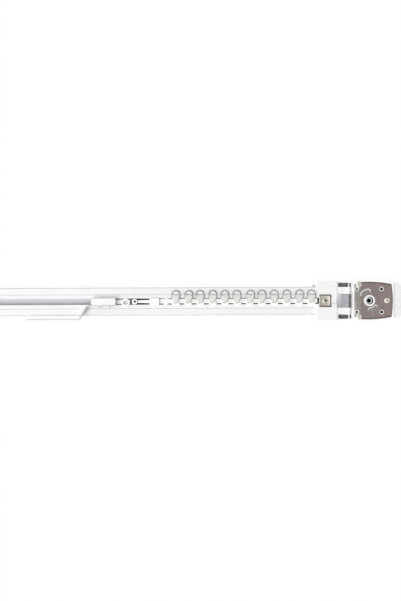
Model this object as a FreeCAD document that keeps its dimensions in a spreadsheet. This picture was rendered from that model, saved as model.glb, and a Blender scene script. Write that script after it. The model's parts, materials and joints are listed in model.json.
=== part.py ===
import FreeCAD, Part
import math
import operator
import os
from types import SimpleNamespace

import Sketcher

# A belt-driven curtain track lying on its back, slot side up. X runs along the track towards the drive
# end, Y across it, and Z out of the slot. The origin is at the middle of the back face. Millimetres.

DIMENSIONS = (
    ("overall_length", 800.0, "whole track with both end boxes"),
    ("track_width", 34.0, "across the profile"),
    ("track_height", 15.0, "back face to slot face"),
    ("track_wall", 1.3, "front and back walls of the profile"),
    ("side_wall", 1.5, "side walls of the profile"),
    ("slot_width", 7.5, "slot that the gliders run in"),
    ("edge_chamfer", 0.7, "outer edges of the profile"),
    ("rib_thickness", 1.0, "ribs that part the belt channels off"),
    ("rib_height", 2.2, "ribs, from the front and back walls"),
    ("line_offset", 8.5, "decorative line from the middle of the face"),
    ("line_width", 0.8, "decorative line across"),
    ("line_depth", 0.4, "decorative line into the face"),
    ("clip_groove_height", 2.0, "bracket groove in each side"),
    ("clip_groove_depth", 0.7, "bracket groove into the side wall"),
    ("clip_groove_rise", 3.0, "bracket groove above the back face"),
    ("pulley_teeth", 17, "teeth of the drive pulley"),
    ("belt_pitch", 5.0, "tooth pitch of the belt"),
    ("belt_thickness", 1.5, "belt"),
    ("belt_width", 8.0, "belt"),
    ("belt_rise", 3.5, "belt's edge above the back face"),
    ("belt_gap", 1.0, "between the belt and the ribs"),
    ("run_gap", 0.05, "running fits"),
    ("slide_gap", 0.1, "sliding parts inside the profile"),
    ("face_gap", 0.3, "moving parts above the slot face"),
    ("cap_length", 12.0, "end cap along the track"),
    ("cap_height", 24.0, "end cap above the back face"),
    ("cap_step", 1.0, "gear housing outside the end cap"),
    ("cap_corner", 6.0, "end cap's round corners along the track"),
    ("cap_corner_width", 9.0, "end cap's round corners across it"),
    ("cap_channel_width", 15.0, "shallow channel over the end cap"),
    ("cap_channel_depth", 1.0, "shallow channel over the end cap"),
    ("housing_length", 47.0, "gear housing along the track"),
    ("housing_height", 30.0, "gear housing above the back face"),
    ("housing_split", 14.0, "top of the gear base"),
    ("housing_neck_width", 48.8, "gear housing at the neck"),
    ("housing_width", 50.6, "gear housing at its widest"),
    ("housing_end_width", 43.8, "gear housing at the cap"),
    ("housing_wall", 2.5, "gear housing"),
    ("housing_floor", 2.0, "gear base"),
    ("deck_thickness", 2.5, "cover's deck under the motor plate"),
    ("plate_thickness", 1.5, "motor plate"),
    ("plate_length", 46.0, "motor plate along the track"),
    ("plate_width", 45.0, "motor plate at its widest"),
    ("plate_end_width", 39.2, "motor plate at its right end"),
    ("plate_neck_width", 38.0, "motor plate at the neck"),
    ("plate_corner", 4.5, "length of the cut corners at the neck"),
    ("plate_corner_width", 2.9, "cut corners at the neck, across the track"),
    ("plate_bulge", 1.5, "right end's curve"),
    ("plate_gap", 0.15, "between the motor plate and the cover's rim"),
    ("socket_offset", 17.9, "drive axis from the gear housing's wall"),
    ("hub_radius", 6.7, "white hub of the drive pulley"),
    ("hub_recess_radius", 4.7, "recess in the hub's end"),
    ("hub_recess_depth", 4.5, "recess in the hub's end"),
    ("hub_rise", 1.4, "hub above the motor plate"),
    ("insert_radius", 4.0, "steel insert in the hub"),
    ("insert_proud", 0.8, "insert above the floor of the hub's recess"),
    ("socket_flats", 5.0, "hexagon socket across flats"),
    ("socket_depth", 16.0, "hexagon socket"),
    ("plate_hole_gap", 0.3, "around the hub in the motor plate"),
    ("arc_slot_radius", 11.2, "bayonet recesses, to their middle"),
    ("arc_slot_width", 4.0, "bayonet recesses"),
    ("arc_slot_depth", 1.0, "bayonet recesses in the motor plate"),
    ("arc_slot_angle", 96.5, "bayonet recesses, degrees from +X"),
    ("arc_slot_sweep_angle", 38.0, "bayonet recesses, degrees"),
    ("locating_span_x", 29.8, "locating holes along the track"),
    ("locating_span_y", 27.6, "locating holes across it"),
    ("locating_hole_radius", 1.9, "hole in each locating boss"),
    ("locating_boss_radius", 2.65, "white boss around each locating hole"),
    ("locating_sink", 0.2, "bosses below the motor plate's face"),
    ("locating_depth", 8.0, "locating holes"),
    ("screw_inset", 5.4, "corner screws from the gear housing's wall"),
    ("screw_span", 38.6, "between the two corner screws"),
    ("screw_far", 39.0, "third screw from the gear housing's wall"),
    ("screw_head_radius", 3.4, "plate screws"),
    ("screw_head_height", 1.9, "plate screws"),
    ("screw_radius", 1.5, "plate screws' shanks"),
    ("screw_length", 9.0, "plate screws under the head"),
    ("cross_reach", 0.6, "arms of a screw's cross recess, as a share of its head's radius"),
    ("cross_width", 0.13, "half the width of those arms, as a share of it"),
    ("cross_depth", 0.25, "depth of the recess, as a share of it"),
    ("overrun", 1.0, "drilled holes past the surfaces that they open"),
    ("post_wall", 2.0, "plastic around a screw"),
    ("flange_radius", 14.6, "pulley flanges"),
    ("flange_thickness", 0.9, "pulley flanges"),
    ("flange_gap", 0.3, "between the belt's edges and the flanges"),
    ("tooth_width", 2.4, "gaps between the pulley's teeth"),
    ("tooth_depth", 1.1, "gaps between the pulley's teeth"),
    ("stub_radius", 4.0, "pulley's lower journal"),
    ("bush_wall", 2.0, "bearing bushes"),
    ("lower_bush_height", 1.2, "lower bush"),
    ("upper_bush_height", 6.0, "upper bush"),
    ("collar_length", 23.9, "drive collar along the track"),
    ("collar_width", 47.6, "drive collar"),
    ("collar_front", 3.5, "drive collar's wall over the slot face"),
    ("bridge_thickness", 1.0, "collar's floor between the end stop and the neck"),
    ("ear_length", 3.2, "collar's ears along the track"),
    ("window_start", 2.6, "end stop's window from the collar's edge"),
    ("stop_length", 15.2, "end stop plate along the track"),
    ("stop_width", 15.4, "end stop plate"),
    ("stop_thickness", 1.6, "end stop plate"),
    ("stop_corner", 1.5, "end stop plate's round corners"),
    ("stop_lug_depth", 5.5, "end stop's lug into the slot"),
    ("stop_lug_inset", 1.0, "end stop's lug from the plate's ends"),
    ("stop_screw_radius", 2.0, "end stop's screw"),
    ("stop_head_radius", 3.6, "end stop's screw head"),
    ("stop_head_height", 1.5, "end stop's screw head"),
    ("neck_length", 19.1, "neck between collar and gear housing"),
    ("neck_height", 14.5, "neck above the back face"),
    ("neck_channel_width", 17.0, "open middle of the neck"),
    ("neck_rib_end", 16.8, "ribs' outer edge from the middle"),
    ("neck_window_width", 5.2, "dark windows of the neck"),
    ("neck_window_start", 2.5, "windows from the collar"),
    ("neck_window_length", 12.7, "windows along the track"),
    ("neck_slit_start", 16.2, "dark slit from the collar"),
    ("neck_slit_length", 2.4, "dark slit along the track"),
    ("neck_slit_depth", 2.2, "slit over the neck's ribs"),
    ("guide_plate_length", 15.4, "grey guide plate"),
    ("guide_plate_thickness", 1.5, "grey guide plate"),
    ("guide_plate_sink", 1.5, "guide plate below the neck's face"),
    ("tunnel_width", 4.4, "belt's way through neck and wall"),
    ("glider_pitch", 15.03, "between parked gliders"),
    ("glider_end_gap", 6.6, "first glider's middle from the collar"),
    ("glider_length", 14.9, "glider's stem along the track"),
    ("bare_glider_length", 12.3, "stem of the glider that carries no ring"),
    ("bare_glider_gap", 0.1, "between that glider and the next"),
    ("glider_head_inset", 2.9, "glider's head inside its stem's ends"),
    ("glider_head_width", 14.0, "glider's head inside the profile"),
    ("glider_head_height", 3.0, "glider's head"),
    ("glider_stem_gap", 1.25, "slot's open edge beside the glider's stem, on the boss's side"),
    ("glider_far_gap", 0.8, "slot's open edge on the other side"),
    ("glider_stem_rise", 0.1, "glider's stem above the slot face"),
    ("boss_radius", 4.75, "glider's round boss"),
    ("boss_height", 0.5, "glider's round boss"),
    ("bare_boss_radius", 2.6, "boss of the glider that carries no ring"),
    ("bare_boss_shift", 1.5, "that boss and its head, toward the drive"),
    ("cheek_gap", 0.1, "between a ring's neck and each cheek"),
    ("cheek_thickness", 1.2, "glider's cheeks"),
    ("cheek_width", 2.8, "glider's cheeks"),
    ("cheek_top_wall", 0.5, "glider's cheeks above the ring's pin"),
    ("ring_pin_side", 1.6, "ring's pin from the middle of the slot"),
    ("ring_axis_rise", 1.4, "ring's pin above the boss"),
    ("ring_pin_radius", 0.7, "ring's pin"),
    ("ring_thickness", 1.8, "ring"),
    ("ring_radius", 5.3, "ring's round end"),
    ("ring_shoulder", 6.0, "ring's straight sides, from its pin"),
    ("ring_reach", 10.0, "ring's round end from its pin"),
    ("ring_neck_width", 4.8, "ring at its pin"),
    ("ring_hole_radius", 4.2, "ring's D-shaped hole"),
    ("ring_hole_base", 9.1, "flat side of the hole from the pin"),
    ("tail_gap", 0.2, "parked carrier's tail block from the bare glider"),
    ("head_length", 28.8, "carrier's head block"),
    ("head_width", 8.8, "carrier's head block"),
    ("head_height", 12.2, "carrier's head block"),
    ("head_rounding", 1.0, "head block's long edges"),
    ("carrier_stem_width", 5.0, "carrier's stem in the slot"),
    ("chassis_width", 10.0, "carrier inside the profile"),
    ("chassis_height", 6.6, "carrier inside the profile"),
    ("chassis_rise", 6.0, "carrier above the back face"),
    ("chassis_inset", 0.5, "chassis behind the head block's end"),
    ("notch_offset", 39.8, "open notch beside the eye from the head block's end"),
    ("notch_length", 11.3, "open notch beside the eye"),
    ("eye_offset", 40.4, "hook eye from the head block's end"),
    ("eye_side", 1.2, "hook eye from the middle of the slot"),
    ("eye_radius", 5.2, "hook eye"),
    ("eye_hole_radius", 2.5, "hook eye"),
    ("eye_thickness", 2.0, "hook eye"),
    ("rivet_flange_radius", 2.9, "hollow rivet's flange on the hook eye"),
    ("rivet_flange_thickness", 0.3, "hollow rivet's flange"),
    ("rivet_bore", 1.9, "hollow rivet's bore, radius"),
    ("stem_slit_offset", 46.0, "slit across the stem from the head block's end"),
    ("stem_slit_length", 2.0, "slit across the stem, along the track"),
    ("stem_slit_depth", 7.0, "slit across the stem"),
    ("clamp_screw_offset", 51.7, "clamp screw from the head block's end"),
    ("clamp_screw_head", 3.5, "clamp screw's head radius"),
    ("clamp_screw_radius", 1.5, "clamp screw's shank"),
    ("clamp_socket_flats", 3.0, "clamp screw's socket across flats"),
    ("clamp_socket_floor", 0.4, "under the clamp screw's socket"),
    ("clamp_screw_floor", 1.0, "chassis under the clamp screw's end"),
    ("link_start", 53.9, "link bar from the head block's end"),
    ("link_length", 15.9, "link bar"),
    ("link_width", 3.6, "link bar"),
    ("link_height", 5.0, "link bar"),
    ("tail_length", 11.8, "tail block"),
    ("tail_height", 3.4, "tail block"),
    ("tail_tongue", 7.4, "tail block's tongue under the link bar"),
    ("wheel_radius", 4.15, "carrier wheels"),
    ("wheel_width", 2.6, "carrier wheels"),
    ("wheel_gap", 0.4, "between wheels and chassis"),
    ("axle_radius", 1.2, "wheel axles"),
    ("axle_head_radius", 1.9, "wheel axles' ends"),
    ("axle_head_length", 0.7, "wheel axles' ends"),
    ("front_wheel_offset", 6.6, "first axle from the head block's end"),
    ("middle_wheel_offset", 20.6, "second axle from the head block's end"),
    ("clamp_offset", 35.0, "belt clamp from the head block's end"),
    ("clamp_length", 14.0, "belt clamp"),
    ("clamp_height", 5.6, "belt clamp"),
    ("arm_thickness", 1.2, "lead arm's strip"),
    ("arm_height", 12.0, "lead arm's strip"),
    ("arm_rise", 0.5, "lead arm above the slot face"),
    ("arm_foot", 26.0, "lead arm along the head block"),
    ("arm_knee", 6.0, "lead arm's bend before the head block's end"),
    ("arm_drop", 16.3, "lead arm's slanting leg across the track"),
    ("arm_angle", 58.5, "lead arm's slanting leg, degrees to the track"),
    ("arm_reach", 62.5, "lead arm's straight run"),
    ("hook_hole_radius", 2.5, "lead arm's hook holes"),
    ("hook_hole_pitch", 12.0, "lead arm's hook holes"),
    ("hook_hole_inset", 6.0, "first hook hole from the arm's tip"),
    ("hook_hole_count", 5, "lead arm's hook holes"),
    ("arm_screw_pitch", 12.0, "lead arm's two screws"),
    ("arm_screw_inset", 8.0, "first arm screw from the head block's end"),
    ("arm_screw_radius", 1.3, "lead arm's screws"),
    ("arm_screw_head", 2.6, "lead arm's screw heads, radius"),
    ("arm_screw_head_height", 1.1, "lead arm's screw heads"),
    ("arm_screw_grip", 3.0, "lead arm's screws into the head block"),
    ("idler_length", 90.0, "idler box along the track"),
    ("idler_width", 40.0, "idler box"),
    ("idler_floor", 2.0, "idler box"),
    ("idler_cover_thickness", 2.4, "idler cover"),
    ("idler_corner", 8.0, "idler box's corners"),
    ("idler_end_wall", 4.0, "idler box's outer end"),
    ("idler_socket", 12.0, "track's length inside the idler box"),
    ("idler_offset", 45.0, "idler axle from the box's end"),
    ("idler_axle_radius", 3.0, "idler axle"),
    ("idler_screw_inset", 7.0, "idler cover's screws from the box's ends"),
    ("idler_screw_radius", 1.0, "idler cover's screws"),
    ("idler_screw_head", 1.8, "idler cover's screw heads, radius"),
    ("idler_screw_head_height", 1.2, "idler cover's screw heads"),
    ("idler_screw_length", 8.0, "idler cover's screws under the head"),
    ("idler_screw_edge", 0.15, "idler cover outside the screws' heads"),
)

# How far each ring lies turned from square, in degrees, from the drive end on. Tips lean to -X if positive.
RING_TURN = (2, -2, 2, 5, 3, -6, 6, 5, 1, 6, -6, 0)

doc = FreeCAD.newDocument("CurtainTrack")
sheet = doc.addObject("Spreadsheet::Sheet", "Sizes")


class Size:
    """A length worked out from the sheet: its expression there, and its value."""

    def __init__(self, text, value):
        self.text = text
        self.value = value

    def joined(self, sign, work, other, swap=False):
        if not isinstance(other, Size):
            other = Size(repr(other), other)
        first, second = (other, self) if swap else (self, other)
        return Size(f"({first.text} {sign} {second.text})", work(first.value, second.value))

    def __add__(self, other):
        return self.joined("+", operator.add, other)

    def __radd__(self, other):
        return self.joined("+", operator.add, other, True)

    def __sub__(self, other):
        return self.joined("-", operator.sub, other)

    def __rsub__(self, other):
        return self.joined("-", operator.sub, other, True)

    def __mul__(self, other):
        return self.joined("*", operator.mul, other)

    def __rmul__(self, other):
        return self.joined("*", operator.mul, other, True)

    def __truediv__(self, other):
        return self.joined("/", operator.truediv, other)

    def __neg__(self):
        return self.joined("*", operator.mul, -1)


def sine(angle):
    return Size(f"sin({angle.text} * 1 deg)", math.sin(math.radians(angle.value)))


def cosine(angle):
    return Size(f"cos({angle.text} * 1 deg)", math.cos(math.radians(angle.value)))


def tangent(angle):
    return Size(f"tan({angle.text} * 1 deg)", math.tan(math.radians(angle.value)))


def root(number):
    return Size(f"sqrt({number.text})", math.sqrt(number.value))


def as_size(number):
    return number if isinstance(number, Size) else Size(repr(number), number)


def fill_sheet():
    """Writes each driving dimension into its own named cell."""
    sizes = {}
    for row, (name, number, meaning) in enumerate(DIMENSIONS, start=1):
        sheet.set(f"A{row}", name)
        sheet.set(f"B{row}", str(number))
        sheet.set(f"C{row}", meaning)
        sheet.setAlias(f"B{row}", name)
        sizes[name] = Size(f"Sizes.{name}", number)
    return SimpleNamespace(**sizes)


d = fill_sheet()
doc.recompute()


def bind(thing, path, size):
    """Ties a property or a sketch constraint to a size."""
    thing.setExpression(path, as_size(size).text)


def place(thing, x=0.0, y=0.0, z=0.0):
    """Ties a sub-part's place to sizes."""
    for axis, size in zip("xyz", (x, y, z)):
        bind(thing, f"Placement.Base.{axis}", size)
    return thing


def vector(x, y):
    return FreeCAD.Vector(as_size(x).value, as_size(y).value, 0)


def pin_down(sketch, geometry, position, x, y):
    """Fixes one point of a sketch at a place given by two sizes."""
    for kind, size in (("DistanceX", x), ("DistanceY", y)):
        size = as_size(size)
        rule = sketch.addConstraint(
            Sketcher.Constraint(kind, -1, 1, geometry, position, size.value)
        )
        bind(sketch, f"Constraints[{rule}]", size)


def draw_outline(sketch, points):
    """A closed outline. A third entry in a point is where the arc to the next point passes."""
    count = len(points)
    made = []
    for n, point in enumerate(points):
        start = vector(*point[:2])
        end = vector(*points[(n + 1) % count][:2])
        if len(point) == 3:
            made.append(sketch.addGeometry(Part.Arc(start, vector(*point[2]), end)))
        else:
            made.append(sketch.addGeometry(Part.LineSegment(start, end)))
    for n, point in enumerate(points):
        before, here = made[n - 1], made[n]
        ends_at = stored_ends(points[n - 1], point)[1]
        starts_at = stored_ends(point, points[(n + 1) % count])[0]
        sketch.addConstraint(Sketcher.Constraint("Coincident", before, ends_at, here, starts_at))
        pin_down(sketch, here, starts_at, *point[:2])
    for n, point in enumerate(points):
        if len(point) == 3:
            via = sketch.addGeometry(Part.Point(vector(*point[2])), True)
            pin_down(sketch, via, 1, *point[2])
            sketch.addConstraint(Sketcher.Constraint("PointOnObject", via, 1, made[n]))


def stored_ends(point, after):
    """The sketch's numbers of a segment's start and end: an arc that runs clockwise is stored in reverse."""
    if len(point) == 2:
        return 1, 2
    start, via, end = vector(*point[:2]), vector(*point[2]), vector(*after[:2])
    return (2, 1) if (via - start).cross(end - via).z < 0 else (1, 2)


def draw_circle(sketch, x, y, radius):
    radius = as_size(radius)
    ring = sketch.addGeometry(Part.Circle(vector(x, y), FreeCAD.Vector(0, 0, 1), radius.value))
    pin_down(sketch, ring, 3, x, y)
    rule = sketch.addConstraint(Sketcher.Constraint("Radius", ring, radius.value))
    bind(sketch, f"Constraints[{rule}]", radius)


def rectangle(x0, x1, y0, y1):
    return [(x0, y0), (x1, y0), (x1, y1), (x0, y1)]


def rounded(x0, x1, y0, y1, radius):
    """A rectangle with round corners."""
    bend = radius * (1 - math.sqrt(0.5))
    return [
        (x0 + radius, y0),
        (x1 - radius, y0, (x1 - bend, y0 + bend)),
        (x1, y0 + radius),
        (x1, y1 - radius, (x1 - bend, y1 - bend)),
        (x1 - radius, y1),
        (x0 + radius, y1, (x0 + bend, y1 - bend)),
        (x0, y1 - radius),
        (x0, y0 + radius, (x0 + bend, y0 + bend)),
    ]


def hexagon(flats, x=0.0, y=0.0):
    """The corners of a hexagon, given across its flats."""
    corner = flats / math.sqrt(3)
    return [
        (x + corner * math.cos(math.radians(60 * n)), y + corner * math.sin(math.radians(60 * n)))
        for n in range(6)
    ]


def new_body(label):
    body = doc.addObject("PartDesign::Body", label)
    body.Label = label
    return body


def sketch_on(body, plane, offset, outlines=(), circles=()):
    """A sketch on one of the body's own planes, moved along its normal."""
    sketch = body.newObject("Sketcher::SketchObject", f"{body.Name}_sketch")
    flat = next(f for f in body.Origin.OriginFeatures if f.Role == plane)
    sketch.AttachmentSupport = [(flat, "")]
    sketch.MapMode = "FlatFace"
    bind(sketch, "AttachmentOffset.Base.z", offset)
    for outline in outlines:
        draw_outline(sketch, outline)
    for circle in circles:
        draw_circle(sketch, *circle)
    return sketch


def pad(body, low, high, outlines=(), circles=(), plane="XY_Plane"):
    """Adds material between two heights above the plane."""
    low, high = as_size(low), as_size(high)
    feature = body.newObject("PartDesign::Pad", f"{body.Name}_pad")
    feature.Profile = sketch_on(body, plane, low, outlines, circles)
    bind(feature, "Length", high - low)
    body.Tip = feature
    return feature


def pocket(body, low, high, outlines=(), circles=(), plane="XY_Plane"):
    """Takes material away between two heights above the plane."""
    low, high = as_size(low), as_size(high)
    feature = body.newObject("PartDesign::Pocket", f"{body.Name}_pocket")
    feature.Profile = sketch_on(body, plane, high, outlines, circles)
    bind(feature, "Length", high - low)
    body.Tip = feature
    return feature


def rod(name, radius, low, high, x=0.0, y=0.0):
    """An upright cylinder between two heights."""
    low, high = as_size(low), as_size(high)
    cylinder = doc.addObject("Part::Cylinder", name)
    bind(cylinder, "Radius", radius)
    bind(cylinder, "Height", high - low)
    return place(cylinder, x, y, low)


def cross_rod(name, radius, low, high, x=0.0, z=0.0):
    """A cylinder along Y between two places across the track."""
    low, high = as_size(low), as_size(high)
    cylinder = doc.addObject("Part::Cylinder", name)
    cylinder.Placement.Rotation = FreeCAD.Rotation(FreeCAD.Vector(1, 0, 0), -90)
    bind(cylinder, "Radius", radius)
    bind(cylinder, "Height", high - low)
    return place(cylinder, x, low, z)


def block(name, x, y, z):
    """A box between two sizes along each axis."""
    box = doc.addObject("Part::Box", name)
    for side, (low, high) in zip(("Length", "Width", "Height"), (x, y, z)):
        bind(box, side, as_size(high) - as_size(low))
    return place(box, x[0], y[0], z[0])


def fuse(label, pieces):
    joined = doc.addObject("Part::MultiFuse", label)
    joined.Shapes = pieces
    joined.Refine = True
    joined.Label = label
    return joined


def cut(label, base, tool):
    rest = doc.addObject("Part::Cut", label)
    rest.Base = base
    rest.Tool = tool
    rest.Refine = True
    rest.Label = label
    return rest


def together(label, pieces):
    """Identical loose pieces that share a node."""
    group = doc.addObject("Part::Compound", label)
    group.Links = pieces
    group.Label = label
    return group


# Places along the track that several pieces share
idler_end = -d.overall_length / 2
drive_end = d.overall_length / 2
cap_start = drive_end - d.cap_length
housing_start = cap_start - d.housing_length
neck_start = housing_start - d.neck_length
collar_start = neck_start - d.collar_length
track_start = idler_end + d.idler_length - d.idler_socket
idler_face = idler_end + d.idler_length
drive_axis = housing_start + d.socket_offset
idler_axis = idler_end + d.idler_offset

# The belt's line and the pulleys that it fits
pitch_radius = d.pulley_teeth * d.belt_pitch / (2 * math.pi)
belt_outer = pitch_radius + d.belt_thickness / 2
belt_inner = pitch_radius - d.belt_thickness / 2
belt_top = d.belt_rise + d.belt_width
rib_outer = belt_inner - d.belt_gap
rib_inner = rib_outer - d.rib_thickness
drum_radius = belt_inner - d.run_gap
flange_low = d.belt_rise - d.flange_gap
flange_high = belt_top + d.flange_gap
flange_places = (flange_low - d.flange_thickness, flange_high)

# Heights inside and above the profile
roof = d.track_height - d.track_wall
over_face = d.track_height + d.face_gap
wheel_axis = roof - d.run_gap - d.wheel_radius


def glider_x(n):
    """The place of the nth parked glider, counted from the drive end."""
    return collar_start - d.glider_end_gap - n * d.glider_pitch


# The glider that carries no ring stands against the last one that does, and the carrier behind it
bare_glider_end = glider_x(len(RING_TURN) - 1) - d.glider_length / 2 - d.bare_glider_gap
bare_glider_x = bare_glider_end - d.bare_glider_length / 2
tail_end = bare_glider_end - d.bare_glider_length - d.tail_gap
tail_start = tail_end - d.tail_length
carrier_start = tail_start - d.link_length - d.link_start
eye_x = carrier_start + d.eye_offset
clamp_screw_x = carrier_start + d.clamp_screw_offset
wheel_places = {
    "front": carrier_start + d.front_wheel_offset,
    "middle": carrier_start + d.middle_wheel_offset,
    "rear": tail_start + d.tail_length / 2,
}
wheel_inner = d.chassis_width / 2 + d.wheel_gap
wheel_outer = wheel_inner + d.wheel_width


def make_track_profile():
    """The extrusion: a slotted front, two belt channels behind ribs, bracket grooves in the sides."""
    half = d.track_width / 2
    inside = half - d.side_wall
    top = d.track_height
    groove_top = d.clip_groove_rise + d.clip_groove_height
    outside = [
        (d.slot_width / 2, top),
        (d.line_offset - d.line_width / 2, top),
        (d.line_offset, top - d.line_depth),
        (d.line_offset + d.line_width / 2, top),
        (half - d.edge_chamfer, top),
        (half, top - d.edge_chamfer),
        (half, groove_top),
        (half - d.clip_groove_depth, groove_top),
        (half - d.clip_groove_depth, d.clip_groove_rise),
        (half, d.clip_groove_rise),
        (half, d.edge_chamfer),
        (half - d.edge_chamfer, as_size(0.0)),
    ]
    channel = [
        (d.slot_width / 2, roof),
        (rib_inner, roof),
        (rib_inner, roof - d.rib_height),
        (rib_outer, roof - d.rib_height),
        (rib_outer, roof),
        (inside, roof),
        (inside, d.track_wall),
        (rib_outer, d.track_wall),
        (rib_outer, d.track_wall + d.rib_height),
        (rib_inner, d.track_wall + d.rib_height),
        (rib_inner, d.track_wall),
    ]
    across = [(-y, z) for y, z in outside]
    far_channel = [(-y, z) for y, z in channel]
    body = new_body("track_profile")
    loop = outside + across[::-1] + far_channel + channel[::-1]
    pad(body, track_start, neck_start, [loop], plane="YZ_Plane")


def belt_loop(reach):
    """The belt's path round both pulleys at a distance from their axes."""
    return [
        (idler_axis, reach),
        (drive_axis, reach, (drive_axis + reach, as_size(0.0))),
        (drive_axis, -reach),
        (idler_axis, -reach, (idler_axis - reach, as_size(0.0))),
    ]


def make_drive_belt():
    body = new_body("drive_belt")
    pad(body, d.belt_rise, belt_top, [belt_loop(belt_outer), belt_loop(belt_inner)])


def make_drive_collar():
    """The moulding that grips the track's end, with the neck that joins it to the gear housing."""
    half = d.collar_width / 2
    inside = d.track_width / 2
    window = collar_start + d.window_start
    top = d.track_height + d.collar_front
    body = new_body("drive_collar")
    pad(body, 0.0, top, [rectangle(collar_start, neck_start, -half, half)])
    round_off = d.ear_length * math.sqrt(0.5)
    ear_side = half - d.ear_length
    for side in (1, -1):
        middle = (collar_start - round_off, side * (ear_side + round_off))
        ear = [
            (collar_start, side * inside),
            (collar_start - d.ear_length, side * inside),
            (collar_start - d.ear_length, side * ear_side, middle),
            (collar_start, side * half),
        ]
        pad(body, 0.0, d.housing_split, [ear])
    pad(body, 0.0, d.neck_height, [rectangle(neck_start, housing_start, -half, half)])
    pocket(body, 0.0, d.track_height, [rectangle(collar_start, neck_start, -inside, inside)])
    across = d.stop_width / 2
    pocket(body, d.track_height, top, [rectangle(window, window + d.stop_length, -across, across)])
    slot = d.slot_width / 2
    pocket(body, d.track_height, top, [rectangle(collar_start, window, -slot, slot)])
    bridge = rectangle(window + d.stop_length, neck_start, -slot, slot)
    pocket(body, d.track_height + d.bridge_thickness, top, [bridge])
    make_neck_openings(body, half)


def make_neck_openings(body, half):
    """The neck's open middle, its dark windows and slit, and the belt's two covered tunnels."""
    channel = d.neck_channel_width / 2
    middle = rectangle(neck_start, housing_start, -channel, channel)
    pocket(body, d.housing_floor, d.neck_height, [middle])
    for side in (1, -1):
        near = side * d.neck_rib_end
        far = side * (d.neck_rib_end + d.neck_window_width)
        for start, length in (
            (d.neck_window_start, d.neck_window_length),
            (d.neck_slit_start, d.neck_slit_length),
        ):
            x0 = neck_start + start
            pocket(body, d.housing_floor, d.neck_height, [rectangle(x0, x0 + length, near, far)])
        low = side * pitch_radius - d.tunnel_width / 2
        tunnel = rectangle(neck_start, housing_start, low, low + d.tunnel_width)
        pocket(body, d.housing_floor, belt_top + d.flange_gap, [tunnel])
    slit = neck_start + d.neck_slit_start
    reach = d.neck_rib_end + d.neck_window_width
    across = rectangle(slit, slit + d.neck_slit_length, -reach, reach)
    pocket(body, d.neck_height - d.neck_slit_depth, d.neck_height, [across])


def make_guide_plate():
    """The grey plate that lies in the neck's open middle."""
    top = d.neck_height - d.guide_plate_sink
    half = d.neck_channel_width / 2
    body = new_body("guide_plate")
    outline = rectangle(neck_start, neck_start + d.guide_plate_length, -half, half)
    pad(body, top - d.guide_plate_thickness, top, [outline])


def make_end_stop():
    """The plate in the collar's window, with a lug in the slot, and the screw that holds it."""
    x0 = collar_start + d.window_start
    x1 = x0 + d.stop_length
    middle = x0 + d.stop_length / 2
    across = d.stop_width / 2
    lug = d.slot_width / 2 - d.slide_gap
    face = d.track_height
    top = face + d.stop_thickness
    body = new_body("end_stop_plate")
    pad(body, face, top, [rounded(x0, x1, -across, across, d.stop_corner)])
    lug_outline = rectangle(x0 + d.stop_lug_inset, x1 - d.stop_lug_inset, -lug, lug)
    pad(body, face - d.stop_lug_depth, face, [lug_outline])
    pocket(body, face - d.stop_lug_depth, top, circles=[(middle, 0.0, d.stop_screw_radius)])
    screw = new_body("end_stop_screw")
    pad(screw, face - d.stop_lug_depth, top, circles=[(middle, 0.0, d.stop_screw_radius)])
    pad(screw, top, top + d.stop_head_height, circles=[(middle, 0.0, d.stop_head_radius)])
    cut_cross(screw, middle, 0.0, top + d.stop_head_height, d.stop_head_radius)


def cut_cross(body, x, y, top, radius):
    """A cross recess in a screw's head."""
    arm = radius * d.cross_reach
    half = radius * d.cross_width
    depth = radius * d.cross_depth
    pocket(body, top - depth, top, [rectangle(x - arm, x + arm, y - half, y + half)])
    pocket(body, top - depth, top, [rectangle(x - half, x + half, y - arm, y + arm)])


def housing_outline(inset):
    """The gear housing seen from the front: barrel sides between the neck and the cap."""
    x0 = housing_start + inset
    x1 = cap_start - inset
    near = d.housing_neck_width / 2 - inset
    wide = d.housing_width / 2 - inset
    far = d.housing_end_width / 2 - inset
    middle = housing_start + d.housing_length / 2
    return [
        (x0, near),
        (x0, -near, (middle, -wide)),
        (x1, -far),
        (x1, far, (middle, wide)),
    ]


def plate_outline(grow):
    """The motor plate: cut corners at the neck, barrel sides and a slightly round right end."""
    x0 = housing_start
    x1 = housing_start + d.plate_length + grow
    near = d.plate_neck_width / 2 + grow
    wide = d.plate_width / 2 + grow
    far = d.plate_end_width / 2 + grow
    corner = x0 + d.plate_corner
    shoulder = near + d.plate_corner_width
    middle = housing_start + d.socket_offset
    flat_end = x1 - d.plate_bulge
    return [
        (x0, near),
        (x0, -near),
        (corner, -shoulder, (middle, -wide)),
        (flat_end, -far, (x1, as_size(0.0))),
        (flat_end, far, (middle, wide)),
        (corner, shoulder),
    ]


def screw_places():
    return [
        (housing_start + d.screw_inset, d.screw_span / 2),
        (housing_start + d.screw_inset, -d.screw_span / 2),
        (housing_start + d.screw_far, as_size(0.0)),
    ]


def locating_places():
    return [
        (drive_axis + sx * d.locating_span_x / 2, sy * d.locating_span_y / 2)
        for sx in (-1, 1)
        for sy in (-1, 1)
    ]


def make_gear_base():
    """The lower half of the gear housing, with the seat of the lower bush."""
    body = new_body("gear_base")
    pad(body, 0.0, d.housing_split, [housing_outline(0.0)])
    pocket(body, d.housing_floor, d.housing_split, [housing_outline(d.housing_wall)])
    seat = d.stub_radius + d.run_gap + d.bush_wall
    floor = d.housing_floor
    pocket(body, floor - d.lower_bush_height, floor, circles=[(drive_axis, 0.0, seat)])
    for side in (1, -1):
        low = side * pitch_radius - d.tunnel_width / 2
        way = rectangle(housing_start, housing_start + d.housing_wall, low, low + d.tunnel_width)
        pocket(body, floor, belt_top + d.flange_gap, [way])


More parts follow.
